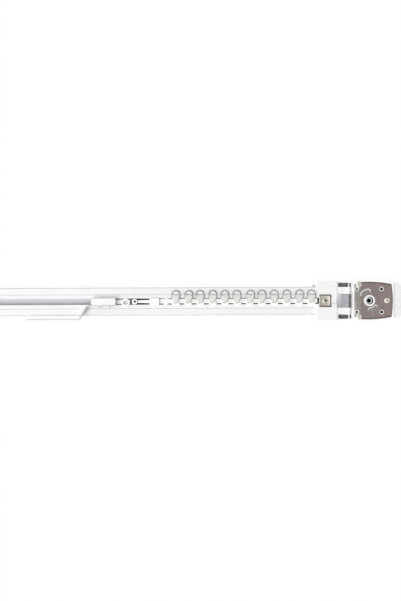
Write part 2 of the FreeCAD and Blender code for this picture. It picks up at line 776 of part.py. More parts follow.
def make_gear_cover():
    """The upper half: a deck under the motor plate, the upper bush's tower, and the screws' posts."""
    deck_top = d.housing_height - d.plate_thickness
    deck = deck_top - d.deck_thickness
    seat = d.hub_radius + d.run_gap + d.bush_wall
    body = new_body("gear_cover")
    pad(body, d.housing_split, d.housing_height, [housing_outline(0.0)])
    pocket(body, deck_top, d.housing_height, [plate_outline(d.plate_gap)])
    pocket(body, d.housing_split, deck, [housing_outline(d.housing_wall)])
    tower = deck_top - d.upper_bush_height - d.deck_thickness
    pad(body, tower, deck, circles=[(drive_axis, 0.0, seat + d.bush_wall)])
    post = d.screw_radius + d.post_wall
    for x, y in screw_places():
        pad(body, deck - d.screw_length, deck, circles=[(x, y, post)])
    for x, y in locating_places():
        pad(body, deck - d.locating_depth, deck, circles=[(x, y, d.locating_boss_radius)])
        boss_face = d.housing_height - d.locating_sink
        pad(body, deck_top, boss_face, circles=[(x, y, d.locating_boss_radius)])
        hole = (x, y, d.locating_hole_radius)
        pocket(body, boss_face - d.locating_depth, boss_face, circles=[hole])
    pocket(body, deck_top - d.upper_bush_height, deck_top, circles=[(drive_axis, 0.0, seat)])
    pocket(body, tower, deck_top, circles=[(drive_axis, 0.0, d.hub_radius + d.face_gap)])
    for x, y in screw_places():
        low = d.housing_height - d.screw_length
        pocket(body, low, deck_top, circles=[(x, y, d.screw_radius)])


def arc_slot(start):
    """One bayonet recess about the drive axis."""
    inner = d.arc_slot_radius - d.arc_slot_width / 2
    outer = d.arc_slot_radius + d.arc_slot_width / 2
    end = start + d.arc_slot_sweep_angle

    def polar(radius, angle):
        return (drive_axis + radius * cosine(angle), radius * sine(angle))

    middle = (start + end) / 2
    tip = d.arc_slot_width / 2 / d.arc_slot_radius * (180 / math.pi)
    return [
        (*polar(outer, start), polar(outer, middle)),
        (*polar(outer, end), polar(d.arc_slot_radius, end + tip)),
        (*polar(inner, end), polar(inner, middle)),
        (*polar(inner, start), polar(d.arc_slot_radius, start - tip)),
    ]


def make_motor_plate():
    """The metal plate that the motor locks onto."""
    top = d.housing_height
    low = top - d.plate_thickness
    body = new_body("motor_plate")
    pad(body, low, top, [plate_outline(0.0)])
    pocket(body, low, top, circles=[(drive_axis, 0.0, d.hub_radius + d.plate_hole_gap)])
    for turn in (0, 180):
        pocket(body, top - d.arc_slot_depth, top, [arc_slot(d.arc_slot_angle + turn)])
    for x, y in locating_places():
        pocket(body, low, top, circles=[(x, y, d.locating_boss_radius + d.run_gap)])
    for x, y in screw_places():
        pocket(body, low, top, circles=[(x, y, d.screw_radius)])


def make_screw(name, x, y, seat, radius, length, head_radius, head_height):
    """A pan-head cross screw standing on a seat."""
    body = new_body(name)
    pad(body, seat - length, seat, circles=[(x, y, radius)])
    pad(body, seat, seat + head_height, circles=[(x, y, head_radius)])
    cut_cross(body, x, y, seat + head_height, head_radius)
    return body


def make_plate_screws():
    screws = [
        make_screw(
            f"plate_screw_{n}", x, y, d.housing_height, d.screw_radius, d.screw_length,
            d.screw_head_radius, d.screw_head_height,
        )
        for n, (x, y) in enumerate(screw_places(), start=1)
    ]
    together("plate_screws", screws)


def make_bushes():
    """The two bearing rings of the drive pulley."""
    deck_top = d.housing_height - d.plate_thickness
    for name, top, height, shaft in (
        ("lower_bush", d.housing_floor, d.lower_bush_height, d.stub_radius),
        ("upper_bush", deck_top, d.upper_bush_height, d.hub_radius),
    ):
        bore = shaft + d.run_gap
        rings = [(drive_axis, 0.0, bore + d.bush_wall), (drive_axis, 0.0, bore)]
        pad(new_body(name), top - height, top, circles=rings)


def make_end_cap():
    """The lower light flange at the drive end, with a shallow channel across its face."""
    half = d.housing_end_width / 2 - d.cap_step
    edge = drive_end - d.cap_corner
    end = half - d.cap_corner_width
    bend = 1 - math.sqrt(0.5)
    bend_x = drive_end - d.cap_corner * bend
    bend_y = half - d.cap_corner_width * bend
    outline = [
        (cap_start, -half),
        (edge, -half, (bend_x, -bend_y)),
        (drive_end, -end),
        (drive_end, end, (bend_x, bend_y)),
        (edge, half),
        (cap_start, half),
    ]
    channel = d.cap_channel_width / 2
    body = new_body("end_cap")
    pad(body, 0.0, d.cap_height, [outline])
    strip = rectangle(cap_start, drive_end, -channel, channel)
    pocket(body, d.cap_height - d.cap_channel_depth, d.cap_height, [strip])


def make_drive_pulley():
    """The toothed pulley with its white hub, turned about the drive axis."""
    top = d.housing_height + d.hub_rise
    floor = d.housing_floor - d.lower_bush_height + d.slide_gap
    recess = top - d.hub_recess_depth
    bore = recess - d.socket_depth
    body = new_body("drive_pulley")
    pad(body, flange_low, flange_high, circles=[(0.0, 0.0, drum_radius)])
    for low in flange_places:
        pad(body, low, low + d.flange_thickness, circles=[(0.0, 0.0, d.flange_radius)])
    pad(body, floor, flange_low, circles=[(0.0, 0.0, d.stub_radius)])
    pad(body, flange_high, top, circles=[(0.0, 0.0, d.hub_radius)])
    pocket(body, recess, top, circles=[(0.0, 0.0, d.hub_recess_radius)])
    pocket(body, bore, recess, circles=[(0.0, 0.0, d.insert_radius)])
    side = d.tooth_width / 2
    gap = rectangle(drum_radius - d.tooth_depth, drum_radius + d.overrun, -side, side)
    groove = pocket(body, flange_low, flange_high, [gap])
    teeth = body.newObject("PartDesign::PolarPattern", "pulley_teeth_pattern")
    teeth.Originals = [groove]
    teeth.Axis = (groove.Profile[0], ["N_Axis"])
    teeth.Angle = 360
    bind(teeth, "Occurrences", d.pulley_teeth)
    body.Tip = teeth
    place(body, drive_axis)
    insert = new_body("socket_insert")
    insert_top = recess + d.insert_proud
    pad(insert, bore, insert_top, circles=[(drive_axis, 0.0, d.insert_radius)])
    socket = hexagon(d.socket_flats, drive_axis, as_size(0.0))
    pocket(insert, insert_top - d.socket_depth, insert_top, [socket])


def idler_outline():
    """The idler box seen from the front, with round outer corners."""
    half = d.idler_width / 2
    corner = d.idler_corner
    bend = corner * (1 - math.sqrt(0.5))
    return [
        (idler_end + corner, -half),
        (idler_face, -half),
        (idler_face, half),
        (idler_end + corner, half, (idler_end + bend, half - bend)),
        (idler_end, half - corner),
        (idler_end, corner - half, (idler_end + bend, bend - half)),
    ]


def make_idler_box():
    """The box at the far end: it takes the track's end, the idler pulley and its axle."""
    inside = d.track_width / 2
    body = new_body("idler_box")
    pad(body, 0.0, d.track_height, [idler_outline()])
    cavity = rectangle(idler_end + d.idler_end_wall, track_start, -inside, inside)
    pocket(body, d.idler_floor, d.track_height, [cavity])
    pocket(body, 0.0, d.track_height, [rectangle(track_start, idler_face, -inside, inside)])
    pocket(body, 0.0, d.idler_floor, circles=[(idler_axis, 0.0, d.idler_axle_radius)])
    top = d.track_height + d.idler_cover_thickness
    cover = new_body("idler_cover")
    pad(cover, d.track_height, top, [idler_outline()])
    pocket(cover, d.track_height, top, circles=[(idler_axis, 0.0, d.idler_axle_radius)])
    seat = top - d.idler_screw_head_height
    screws = []
    for n, (x, y) in enumerate(idler_screw_places(), start=1):
        pocket(cover, d.track_height, top, circles=[(x, y, d.idler_screw_radius)])
        pocket(cover, seat, top, circles=[(x, y, d.idler_screw_head)])
        low = seat - d.idler_screw_length
        pocket(body, low, d.track_height, circles=[(x, y, d.idler_screw_radius)])
        screws.append(
            make_screw(
                f"idler_screw_{n}", x, y, seat, d.idler_screw_radius, d.idler_screw_length,
                d.idler_screw_head, d.idler_screw_head_height,
            )
        )
    together("idler_screws", screws)


def idler_screw_places():
    """Four screws in the box's side walls, their heads sunk flush."""
    side = d.idler_width / 2 - d.idler_screw_edge - d.idler_screw_head
    return [
        (x, y)
        for x in (idler_end + d.idler_corner + d.idler_screw_inset, idler_face - d.idler_screw_inset)
        for y in (-side, side)
    ]


def make_idler():
    """The idler pulley on its fixed axle."""
    top = d.track_height + d.idler_cover_thickness
    axle = new_body("idler_axle")
    pad(axle, 0.0, top, circles=[(idler_axis, 0.0, d.idler_axle_radius)])
    bore = d.idler_axle_radius + d.run_gap
    pulley = new_body("idler_pulley")
    pad(pulley, flange_low, flange_high, circles=[(0.0, 0.0, drum_radius), (0.0, 0.0, bore)])
    for low in flange_places:
        rings = [(0.0, 0.0, d.flange_radius), (0.0, 0.0, bore)]
        pad(pulley, low, low + d.flange_thickness, circles=rings)
    place(pulley, idler_axis)


def make_carrier_chassis():
    """The carrier's frame: a bar inside the profile and a stem up through the slot."""
    x0 = carrier_start + d.chassis_inset
    x1 = carrier_start + d.link_start
    half = d.chassis_width / 2
    stem = d.carrier_stem_width / 2
    low = d.chassis_rise
    high = low + d.chassis_height
    body = new_body("chassis_frame")
    pad(body, low, high, [rectangle(x0, x1, -half, half)])
    pad(body, high, over_face, [rectangle(x0, x1, -stem, stem)])
    notch = carrier_start + d.notch_offset
    pocket(body, low, high, [rectangle(notch, notch + d.notch_length, stem, half)])
    slit = carrier_start + d.stem_slit_offset
    outline = rectangle(slit, slit + d.stem_slit_length, -stem, stem)
    pocket(body, over_face - d.stem_slit_depth, over_face, [outline])
    screw_low = low + d.clamp_screw_floor
    pocket(body, screw_low, over_face, circles=[(clamp_screw_x, 0.0, d.clamp_screw_radius)])
    reach = half + d.overrun
    axles = [
        cross_rod(f"chassis_bore_{name}", d.axle_radius, -reach, reach, wheel_places[name], wheel_axis)
        for name in ("front", "middle")
    ]
    cut("carrier_chassis", body, fuse("chassis_bores", axles))
    screw = new_body("clamp_screw")
    head_top = over_face + d.eye_thickness
    pad(screw, screw_low, over_face, circles=[(clamp_screw_x, 0.0, d.clamp_screw_radius)])
    pad(screw, over_face, head_top, circles=[(clamp_screw_x, 0.0, d.clamp_screw_head)])
    socket = hexagon(d.clamp_socket_flats, clamp_screw_x, as_size(0.0))
    pocket(screw, over_face + d.clamp_socket_floor, head_top, [socket])


def make_carrier_head():
    """The long white block over the slot, drilled from the side for the lead arm's screws."""
    half = d.head_width / 2
    top = over_face + d.head_height
    rounding = d.head_rounding
    bend = rounding * (1 - math.sqrt(0.5))
    outline = [
        (-half, over_face),
        (half, over_face),
        (half, top - rounding, (half - bend, top - bend)),
        (half - rounding, top),
        (rounding - half, top, (bend - half, top - bend)),
        (-half, top - rounding),
    ]
    body = new_body("head_block")
    pad(body, carrier_start, carrier_start + d.head_length, [outline], plane="YZ_Plane")
    holes = [
        cross_rod(
            f"head_hole_{n}", d.arm_screw_radius, -half - d.overrun, -half + d.arm_screw_grip, x, z
        )
        for n, (x, z) in enumerate(arm_screw_places(), start=1)
    ]
    cut("carrier_head", body, fuse("head_holes", holes))


def arm_screw_places():
    x = carrier_start + d.arm_screw_inset
    z = d.track_height + d.arm_rise + d.arm_height / 2
    return [(x, z), (x + d.arm_screw_pitch, z)]


def make_hook_eye():
    """A flat eye on the stem that takes the curtain's first hook, lined by a hollow rivet."""
    ring = (eye_x, -d.eye_side, d.eye_radius)
    hole = (eye_x, -d.eye_side, d.eye_hole_radius)
    body = new_body("hook_eye")
    pad(body, over_face, over_face + d.eye_thickness, circles=[ring, hole])
    bore = (eye_x, -d.eye_side, d.rivet_bore)
    flange = (eye_x, -d.eye_side, d.rivet_flange_radius)
    face = over_face + d.eye_thickness
    rivet = new_body("eye_rivet")
    pad(rivet, over_face, face, circles=[hole, bore])
    pad(rivet, face, face + d.rivet_flange_thickness, circles=[flange, bore])


def make_link_bar():
    x0 = carrier_start + d.link_start
    half = d.link_width / 2
    top = d.track_height
    body = new_body("link_bar")
    pad(body, top - d.link_height, top, [rectangle(x0, x0 + d.link_length, -half, half)])


def make_tail_trolley():
    """The rear trolley: a short chassis inside the profile with a white block over the slot."""
    half = d.chassis_width / 2
    stem = d.carrier_stem_width / 2
    head = d.head_width / 2
    high = d.chassis_rise + d.chassis_height
    body = new_body("tail_frame")
    pad(body, d.chassis_rise, high, [rectangle(tail_start, tail_end, -half, half)])
    tongue = d.track_height - d.link_height - d.slide_gap
    tongue_start = tail_start - d.tail_tongue
    pad(body, d.chassis_rise, tongue, [rectangle(tongue_start, tail_start, -half, half)])
    pad(body, high, over_face, [rectangle(tail_start, tail_end, -stem, stem)])
    pad(body, over_face, over_face + d.tail_height, [rectangle(tail_start, tail_end, -head, head)])
    reach = half + d.overrun
    bore = cross_rod("tail_bore", d.axle_radius, -reach, reach, wheel_places["rear"], wheel_axis)
    cut("tail_trolley", body, bore)


def make_wheels():
    """Three axles fixed in the carrier, and a pair of wheels that turns on each."""
    end = wheel_outer + d.slide_gap + d.axle_head_length
    axles = []
    for name, x in wheel_places.items():
        shaft = cross_rod(f"axle_shaft_{name}", d.axle_radius, -end, end, x, wheel_axis)
        inner = end - d.axle_head_length
        heads = [
            cross_rod(f"axle_head_{name}_{n}", d.axle_head_radius, low, high, x, wheel_axis)
            for n, (low, high) in enumerate(((-end, -inner), (inner, end)), start=1)
        ]
        axles.append(fuse(f"axle_{name}", [shaft, *heads]))
        wheels = []
        for n, low in enumerate((-wheel_outer, wheel_inner), start=1):
            high = low + d.wheel_width
            disc = cross_rod(f"wheel_disc_{name}_{n}", d.wheel_radius, low, high, x, wheel_axis)
            bore = cross_rod(
                f"wheel_bore_{name}_{n}", d.axle_radius + d.run_gap,
                low - d.overrun, high + d.overrun, x, wheel_axis,
            )
            wheels.append(cut(f"wheel_{name}_{n}", disc, bore))
        together(f"wheels_{name}", wheels)
    together("wheel_axles", axles)


def make_belt_clamp():
    """The carrier's jaw that grips the belt's inner face between the ribs."""
    x0 = carrier_start + d.clamp_offset
    middle = d.belt_rise + d.belt_width / 2
    low = middle - d.clamp_height / 2
    body = new_body("belt_clamp")
    outline = rectangle(x0, x0 + d.clamp_length, -drum_radius, -d.chassis_width / 2)
    pad(body, low, low + d.clamp_height, [outline])


def make_lead_arm():
    """The strip on edge: a foot along the head block, a slanting leg, and a straight run with hook holes."""
    near = -d.head_width / 2
    step = d.arm_thickness * tangent(d.arm_angle / 2)
    run = d.arm_drop / tangent(d.arm_angle)
    knee = carrier_start - d.arm_knee
    elbow = knee - run
    foot = carrier_start + d.arm_foot
    far = near - d.arm_drop
    tip = elbow - d.arm_reach
    low = d.track_height + d.arm_rise
    high = low + d.arm_height
    outline = [
        (foot, near),
        (knee, near),
        (elbow, far),
        (tip, far),
        (tip, far - d.arm_thickness),
        (elbow + step, far - d.arm_thickness),
        (knee + step, near - d.arm_thickness),
        (foot, near - d.arm_thickness),
    ]
    body = new_body("arm_strip")
    pad(body, low, high, [outline])
    middle = low + d.arm_height / 2
    holes = [
        cross_rod(
            f"hook_hole_{n + 1}", d.hook_hole_radius, far - d.arm_thickness - d.overrun,
            far + d.overrun, tip + d.hook_hole_inset + n * d.hook_hole_pitch, middle,
        )
        for n in range(int(d.hook_hole_count.value))
    ]
    holes += [
        cross_rod(
            f"arm_screw_hole_{n}", d.arm_screw_radius, near - d.arm_thickness - d.overrun,
            near + d.overrun, x, z,
        )
        for n, (x, z) in enumerate(arm_screw_places(), start=1)
    ]
    cut("lead_arm", body, fuse("arm_holes", holes))
    screws = []
    for n, (x, z) in enumerate(arm_screw_places(), start=1):
        seat = near - d.arm_thickness
        end = near + d.arm_screw_grip
        top = seat - d.arm_screw_head_height
        shank = cross_rod(f"arm_screw_shank_{n}", d.arm_screw_radius, seat, end, x, z)
        head = cross_rod(f"arm_screw_head_{n}", d.arm_screw_head, top, seat, x, z)
        screws.append(fuse(f"arm_screw_{n}", [shank, head]))
    together("arm_screws", screws)


boss_top = d.track_height + d.glider_stem_rise + d.boss_height
ring_axis = boss_top + d.ring_axis_rise
cheek_start = d.ring_neck_width / 2 + d.cheek_gap
cheek_end = cheek_start + d.cheek_thickness


def make_glider(n, x, length, boss, shift, *fork):
    """A glider: a flat head inside the profile, a longer stem in the slot, and a round boss."""
    head_top = roof - d.slide_gap
    head_low = head_top - d.glider_head_height
    head = length / 2 - d.glider_head_inset
    width = d.glider_head_width / 2
    stem = (d.glider_stem_gap - d.slot_width / 2, d.slot_width / 2 - d.glider_far_gap)
    stem_top = d.track_height + d.glider_stem_rise
    pieces = [
        block(f"glider_head_{n}", (shift - head, shift + head), (-width, width), (head_low, head_top)),
        block(f"glider_stem_{n}", (-length / 2, length / 2), stem, (head_top, stem_top)),
        rod(f"glider_boss_{n}", boss, stem_top, boss_top, shift, -d.ring_pin_side),
    ]
    place(fuse(f"glider_{n:02d}", [*pieces, *fork]), x)


def make_fork(n, turn):
    """The two cheeks that hold a ring's pin, turned with the ring."""
    across = (-d.ring_pin_side - d.cheek_width / 2, -d.ring_pin_side + d.cheek_width / 2)
    upright = (boss_top - d.boss_height / 2, ring_axis + d.ring_pin_radius + d.cheek_top_wall)
    cheeks = [
        block(f"cheek_{n}_right", (cheek_start, cheek_end), across, upright),
        block(f"cheek_{n}_left", (-cheek_end, -cheek_start), across, upright),
    ]
    bore = doc.addObject("Part::Cylinder", f"cheek_{n}_bore")
    bore.Placement.Rotation = FreeCAD.Rotation(FreeCAD.Vector(0, 1, 0), 90)
    bind(bore, "Radius", d.ring_pin_radius + d.run_gap)
    reach = cheek_end + d.overrun
    bind(bore, "Height", reach * 2)
    place(bore, -reach, -d.ring_pin_side, ring_axis)
    fork = cut(f"fork_{n}", fuse(f"cheeks_{n}", cheeks), bore)
    fork.Placement.Rotation = FreeCAD.Rotation(FreeCAD.Vector(0, 0, 1), turn)
    return fork


def make_ring(n, x, turn):
    """An arched ring with a D-shaped hole and a narrow neck, flopped over to +Y on its pin."""
    half = d.ring_thickness / 2
    neck = d.ring_neck_width / 2
    pin = -d.ring_pin_side
    straight = pin + d.cheek_width / 2 + d.face_gap
    shoulder = pin + d.ring_shoulder
    middle = pin + d.ring_reach
    outline = [
        (-neck, pin),
        (neck, pin),
        (neck, straight),
        (d.ring_radius, shoulder),
        (d.ring_radius, middle, (as_size(0.0), middle + d.ring_radius)),
        (-d.ring_radius, middle),
        (-d.ring_radius, shoulder),
        (-neck, straight),
    ]
    base = pin + d.ring_hole_base
    wide = root(d.ring_hole_radius * d.ring_hole_radius - (middle - base) * (middle - base))
    hole = [
        (-wide, base),
        (wide, base, (as_size(0.0), middle + d.ring_hole_radius)),
    ]
    ring = new_body(f"ring_{n:02d}")
    pad(ring, -half, half, [outline, hole])
    pad(ring, -neck, neck, circles=[(pin, 0.0, half)], plane="YZ_Plane")
    pad(ring, -cheek_end, cheek_end, circles=[(pin, 0.0, d.ring_pin_radius)], plane="YZ_Plane")
    ring.Placement.Rotation = FreeCAD.Rotation(FreeCAD.Vector(0, 0, 1), turn)
    place(ring, x, 0.0, ring_axis)


def make_gliders():
    for n, turn in enumerate(RING_TURN):
        make_glider(n + 1, glider_x(n), d.glider_length, d.boss_radius, as_size(0.0), make_fork(n + 1, turn))
        make_ring(n + 1, glider_x(n), turn)
    last = len(RING_TURN) + 1
    make_glider(last, bare_glider_x, d.bare_glider_length, d.bare_boss_radius, d.bare_boss_shift)


NODES = (
    "track_profile", "drive_belt", "drive_collar", "guide_plate", "end_stop_plate", "end_stop_screw",
    "gear_base", "gear_cover", "motor_plate", "plate_screws", "lower_bush", "upper_bush", "end_cap",
    "drive_pulley", "socket_insert", "idler_box", "idler_cover", "idler_screws", "idler_axle",
    "idler_pulley", "carrier_chassis", "carrier_head", "hook_eye", "eye_rivet", "clamp_screw", "link_bar",
    "tail_trolley", "wheel_axles", "wheels_front", "wheels_middle", "wheels_rear", "belt_clamp",
    "lead_arm", "arm_screws",
    *(f"glider_{n:02d}" for n in range(1, len(RING_TURN) + 2)),
    *(f"ring_{n:02d}" for n in range(1, len(RING_TURN) + 1)),
)


def check(node):
    """Stops if a sub-part failed to build."""
    shape = node.Shape
    if shape.isNull() or not shape.isValid() or not shape.Solids:
        raise RuntimeError(f"{node.Label} has no valid solid")


make_track_profile()
make_drive_belt()
make_drive_collar()
make_guide_plate()
make_end_stop()
make_gear_base()
make_gear_cover()
make_motor_plate()
make_plate_screws()
make_bushes()
make_end_cap()
make_drive_pulley()
make_idler_box()
make_idler()
make_carrier_chassis()
make_carrier_head()
make_hook_eye()
make_link_bar()
make_tail_trolley()
make_wheels()
make_belt_clamp()
make_lead_arm()
make_gliders()
doc.recompute()

failed = [thing.Label for thing in doc.Objects if {"Invalid", "Error"} & set(thing.State)]
if failed:
    raise RuntimeError(f"failed to build: {failed}")
os.makedirs("parts", exist_ok=True)
for label in NODES:
    node = doc.getObjectsByLabel(label)[0]
    check(node)
    node.Shape.exportStep(f"parts/{label}.step")
    print(f"{label}: {len(node.Shape.Solids)} solids, {node.Shape.Volume:.1f} mm3")
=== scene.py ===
import json
import math

import bmesh
import bpy
from mathutils import Matrix, Vector

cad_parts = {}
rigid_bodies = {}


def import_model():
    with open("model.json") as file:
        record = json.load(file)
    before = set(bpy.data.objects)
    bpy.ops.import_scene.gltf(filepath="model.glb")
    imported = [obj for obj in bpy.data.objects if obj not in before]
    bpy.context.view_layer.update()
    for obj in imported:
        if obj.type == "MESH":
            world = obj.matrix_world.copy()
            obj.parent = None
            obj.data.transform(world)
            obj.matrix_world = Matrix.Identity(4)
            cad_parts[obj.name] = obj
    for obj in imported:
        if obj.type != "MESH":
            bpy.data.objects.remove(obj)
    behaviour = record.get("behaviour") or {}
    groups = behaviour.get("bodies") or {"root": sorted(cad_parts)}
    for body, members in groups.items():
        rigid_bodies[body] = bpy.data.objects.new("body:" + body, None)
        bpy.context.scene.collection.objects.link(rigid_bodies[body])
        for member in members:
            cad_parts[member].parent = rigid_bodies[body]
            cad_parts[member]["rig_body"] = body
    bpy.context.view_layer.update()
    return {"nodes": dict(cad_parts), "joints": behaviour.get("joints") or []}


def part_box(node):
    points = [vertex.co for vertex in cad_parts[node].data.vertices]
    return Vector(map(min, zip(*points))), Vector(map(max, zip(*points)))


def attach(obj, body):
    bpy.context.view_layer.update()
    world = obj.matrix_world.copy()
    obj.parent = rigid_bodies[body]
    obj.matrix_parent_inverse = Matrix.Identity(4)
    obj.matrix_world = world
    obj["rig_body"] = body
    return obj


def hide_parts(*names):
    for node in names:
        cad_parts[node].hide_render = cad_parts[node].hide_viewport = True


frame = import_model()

nodes = frame["nodes"]

# The track profile. A white aluminium extrusion with a slot in its face and two fine lines beside it.
# It is powder coated: satin, with a faint orange peel, and slightly greyer where hands and brackets
# have rubbed it. Inside, toward the drive, it is painted near black as shade, and its fine lines and long
# edges are painted darker as shade.
profile_low, profile_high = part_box("track_profile")
profile_lip = 0.0015
profile_skin = 0.2 * profile_lip
below_face = profile_high.z - 0.1 * profile_lip
under_lips = profile_high.z - 0.8 * profile_lip
groove_band = 0.0035
# How wide the painted shade along the long edges is.
shaded_edge = 0.0008
# Where the inside of the profile turns to painted shade, and the near-black colour of that painted shade.
shade_start = 0.022
shade_end = 0.060
painted_shade_black = (0.03, 0.03, 0.032)


class Value:
    """A number, colour or vector in a material's node tree."""

    def __init__(self, tree, socket):
        self.tree = tree
        self.socket = socket

    def maths(self, operation, first, second):
        return node(self.tree, "ShaderNodeMath", {"operation": operation}, {0: first, 1: second})

    def __add__(self, other):
        return self.maths("ADD", self, other)

    def __radd__(self, other):
        return self.maths("ADD", other, self)

    def __sub__(self, other):
        return self.maths("SUBTRACT", self, other)

    def __rsub__(self, other):
        return self.maths("SUBTRACT", other, self)

    def __mul__(self, other):
        return self.maths("MULTIPLY", self, other)

    def __rmul__(self, other):
        return self.maths("MULTIPLY", other, self)

    def __gt__(self, other):
        return self.maths("GREATER_THAN", self, other)

    def __lt__(self, other):
        return self.maths("LESS_THAN", self, other)

    def __abs__(self):
        return self.maths("ABSOLUTE", self, 0)


def node(tree, kind, settings, values, output=0):
    """Adds one node: its settings first, then the values or links of its sockets."""
    made = tree.nodes.new(kind)
    for name, setting in settings.items():
        setattr(made, name, setting)
    for name, value in values.items():
        if isinstance(value, Value):
            tree.links.new(value.socket, made.inputs[name])
        else:
            made.inputs[name].default_value = value
    return Value(tree, made.outputs[output]) if len(made.outputs) else None


def new_finish(name):
    """An empty material, its tree, and the place on the surface in metres."""
    material = bpy.data.materials.new(name)
    material.use_nodes = True
    tree = material.node_tree
    tree.nodes.clear()
    place = node(tree, "ShaderNodeTexCoord", {}, {}, output="Object")
    return material, tree, place


def directions(tree, place):
    """How far a place is along the track, across it, and up."""
    return [node(tree, "ShaderNodeSeparateXYZ", {}, {0: place}, output=axis) for axis in "XYZ"]


def mottle(tree, place, size, detail=3, stretch=(1, 1, 1)):
    """Soft noise from 0 to 1 whose patches are about size metres across."""
    scaled = node(
        tree, "ShaderNodeVectorMath", {"operation": "MULTIPLY"},
        {0: place, 1: [s / size for s in stretch]},
    )
    values = {"Vector": scaled, "Scale": 1.0, "Detail": detail}
    return node(tree, "ShaderNodeTexNoise", {}, values, output="Fac")


def blended(tree, amount, first, second, blend="MIX"):
    """One colour turning into another."""
    colours = [(*colour, 1) if isinstance(colour, tuple) else colour for colour in (first, second)]
    return node(
        tree, "ShaderNodeMix", {"data_type": "RGBA", "blend_type": blend},
        {0: amount, 6: colours[0], 7: colours[1]}, output=2,
    )


def ramp(tree, amount, first, last):
    """0 before first, 1 after last."""
    return node(tree, "ShaderNodeMapRange", {}, {"Value": amount, "From Min": first, "From Max": last})


def close_finish(material, tree, colour, roughness, relief, strength, depth, metal=0.0, **more):
    """Ends a material in one surface shader. relief is its bumps, depth metres high."""
    bumps = node(
        tree, "ShaderNodeBump", {}, {"Height": relief, "Strength": strength, "Distance": depth},
        output="Normal",
    )
    values = {"Base Color": colour, "Roughness": roughness, "Normal": bumps, "Metallic": metal, **more}
    shader = node(tree, "ShaderNodeBsdfPrincipled", {}, values)
    node(tree, "ShaderNodeOutputMaterial", {}, {"Surface": shader})
    return material


def dress(names, material):
    """Gives CAD nodes their finish."""
    for name in names:
        mesh = nodes[name].data
        mesh.materials.clear()
        mesh.materials.append(material)


def powder_coat():
    material, tree, place = new_finish("powder_coat")
    along, across, up = directions(tree, place)
    peel = mottle(tree, place, size=0.0011, detail=2)
    wear_and_highlight = mottle(tree, place, size=0.03, detail=4, stretch=(0.2, 1, 1))
    inside = (under_lips > up) * (up > profile_low.z + profile_skin)
    inside = inside * (profile_high.y - profile_skin > across) * (across > profile_low.y + profile_skin)
    fine_lines = (below_face > up) * (up > under_lips) * (profile_high.y - groove_band > abs(across))
    edges = abs(across) > profile_high.y - shaded_edge
    clean = blended(tree, wear_and_highlight, (0.80, 0.81, 0.825), (0.86, 0.865, 0.87))
    clean = blended(tree, inside, clean, (0.85, 0.85, 0.90))
    # Painted shade in the fine lines and along the long edges, uneven with the wear.
    clean = blended(tree, (fine_lines + edges) * (0.2 + 0.3 * wear_and_highlight), clean, (0.30, 0.30, 0.32))
    # Inside the profile, toward the drive, the colour is painted near black as shade.
    colour = blended(tree, inside * ramp(tree, along, shade_start, shade_end), clean, painted_shade_black)
    return close_finish(
        material, tree, colour, 0.34 + 0.12 * wear_and_highlight, relief=peel, strength=0.12, depth=0.0001,
    )


dress(["track_profile"], powder_coat())


# The drive belt. Black rubber over cords, 8 mm wide, in the profile's side channels and round both
# pulleys. Fine ribs from the mould run across it, and its edges are dusty.
def belt_rubber():
    material, tree, place = new_finish("belt_rubber")
    dust = mottle(tree, place, size=0.006, detail=4)
    ribs = mottle(tree, place, size=0.0007, detail=2, stretch=(1, 1, 0.3))
    colour = blended(tree, dust, (0.022, 0.022, 0.024), (0.06, 0.06, 0.062))
    return close_finish(
        material, tree, colour, 0.62 + 0.2 * dust, relief=ribs, strength=0.4, depth=0.0001,
    )


dress(["drive_belt"], belt_rubber())


# The white mouldings: both end boxes, the collar with its neck, and the carrier's blocks. They are
# injection moulded in glossy white plastic with softened edges, faint sink marks and dull scuffs. Their
# hollows, and what runs inside the profile, are painted near black or grey as shade. The gear cover and
# the running parts are a paler copy of the same white, painted lighter as light.
collar_low, collar_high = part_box("drive_collar")
neck_end = collar_high.x - 0.0002
windows_start = collar_high.x - 0.0168
windows_near = 0.0165
windows_far = 0.0225
windows_top = 0.0080
step_start = collar_high.x - 0.0021
step_half = 0.0162
slit_start = collar_high.x - 0.0015
slit_half = 0.0080
slit_top = 0.0120
ear_end = collar_low.x + 0.0024
ear_side = profile_high.y + 0.0022
hub_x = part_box("motor_plate")[0].x + 0.0179
boss_half_x = 0.0149
boss_half_y = 0.0138
peg_hole = 0.0021
peg_shade_shift = 0.0006
peg_hole_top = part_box("gear_cover")[1].z - 0.0010
running_top = profile_high.z - 1.1 * profile_lip
weld_within = 1e-6
flat_within = math.radians(1)
corner_over = math.radians(40)
# The same white twice: the second copy is painted lighter as light, for the gear cover and the running
# parts.
dull_white = ((0.835, 0.84, 0.845), (0.88, 0.88, 0.875))
painted_lighter_white = ((0.92, 0.92, 0.92), (0.96, 0.96, 0.955))


def in_neck_windows(along, across, up):
    """Painted shade: dark deep in the neck's windows and its slit, and grey in the narrow step at its end
    and on one ear.
    """
    side = abs(across)
    windows = (along > windows_start) * (neck_end > along)
    windows = windows * (side > windows_near) * (windows_far > side) * (windows_top > up)
    step = (along > step_start) * (neck_end > along)
    slit = step * (along > slit_start) * (slit_half > side) * (slit_top > up)
    ear = (ear_end > along) * (across > 0.0) * (ear_side > across)
    return 0.72 * windows + 0.7 * slit + 0.35 * step * (1.0 - slit) * (step_half > side) + 0.4 * ear


def in_peg_holes(along, across, up):
    """Painted shade down in the four holes that a motor's pegs enter, set a little to one side, less in the
    two by the neck.
    """
    x = abs(along - (hub_x + peg_shade_shift)) - boss_half_x
    y = abs(across) - boss_half_y
    holes = (peg_hole * peg_hole > x * x + y * y) * (peg_hole_top > up)
    return holes * (0.45 + 0.55 * (along > hub_x))


def in_profile(along, across, up):
    """Painted shade, near black, under the slot's lips."""
    return 0.95 * (running_top > up)


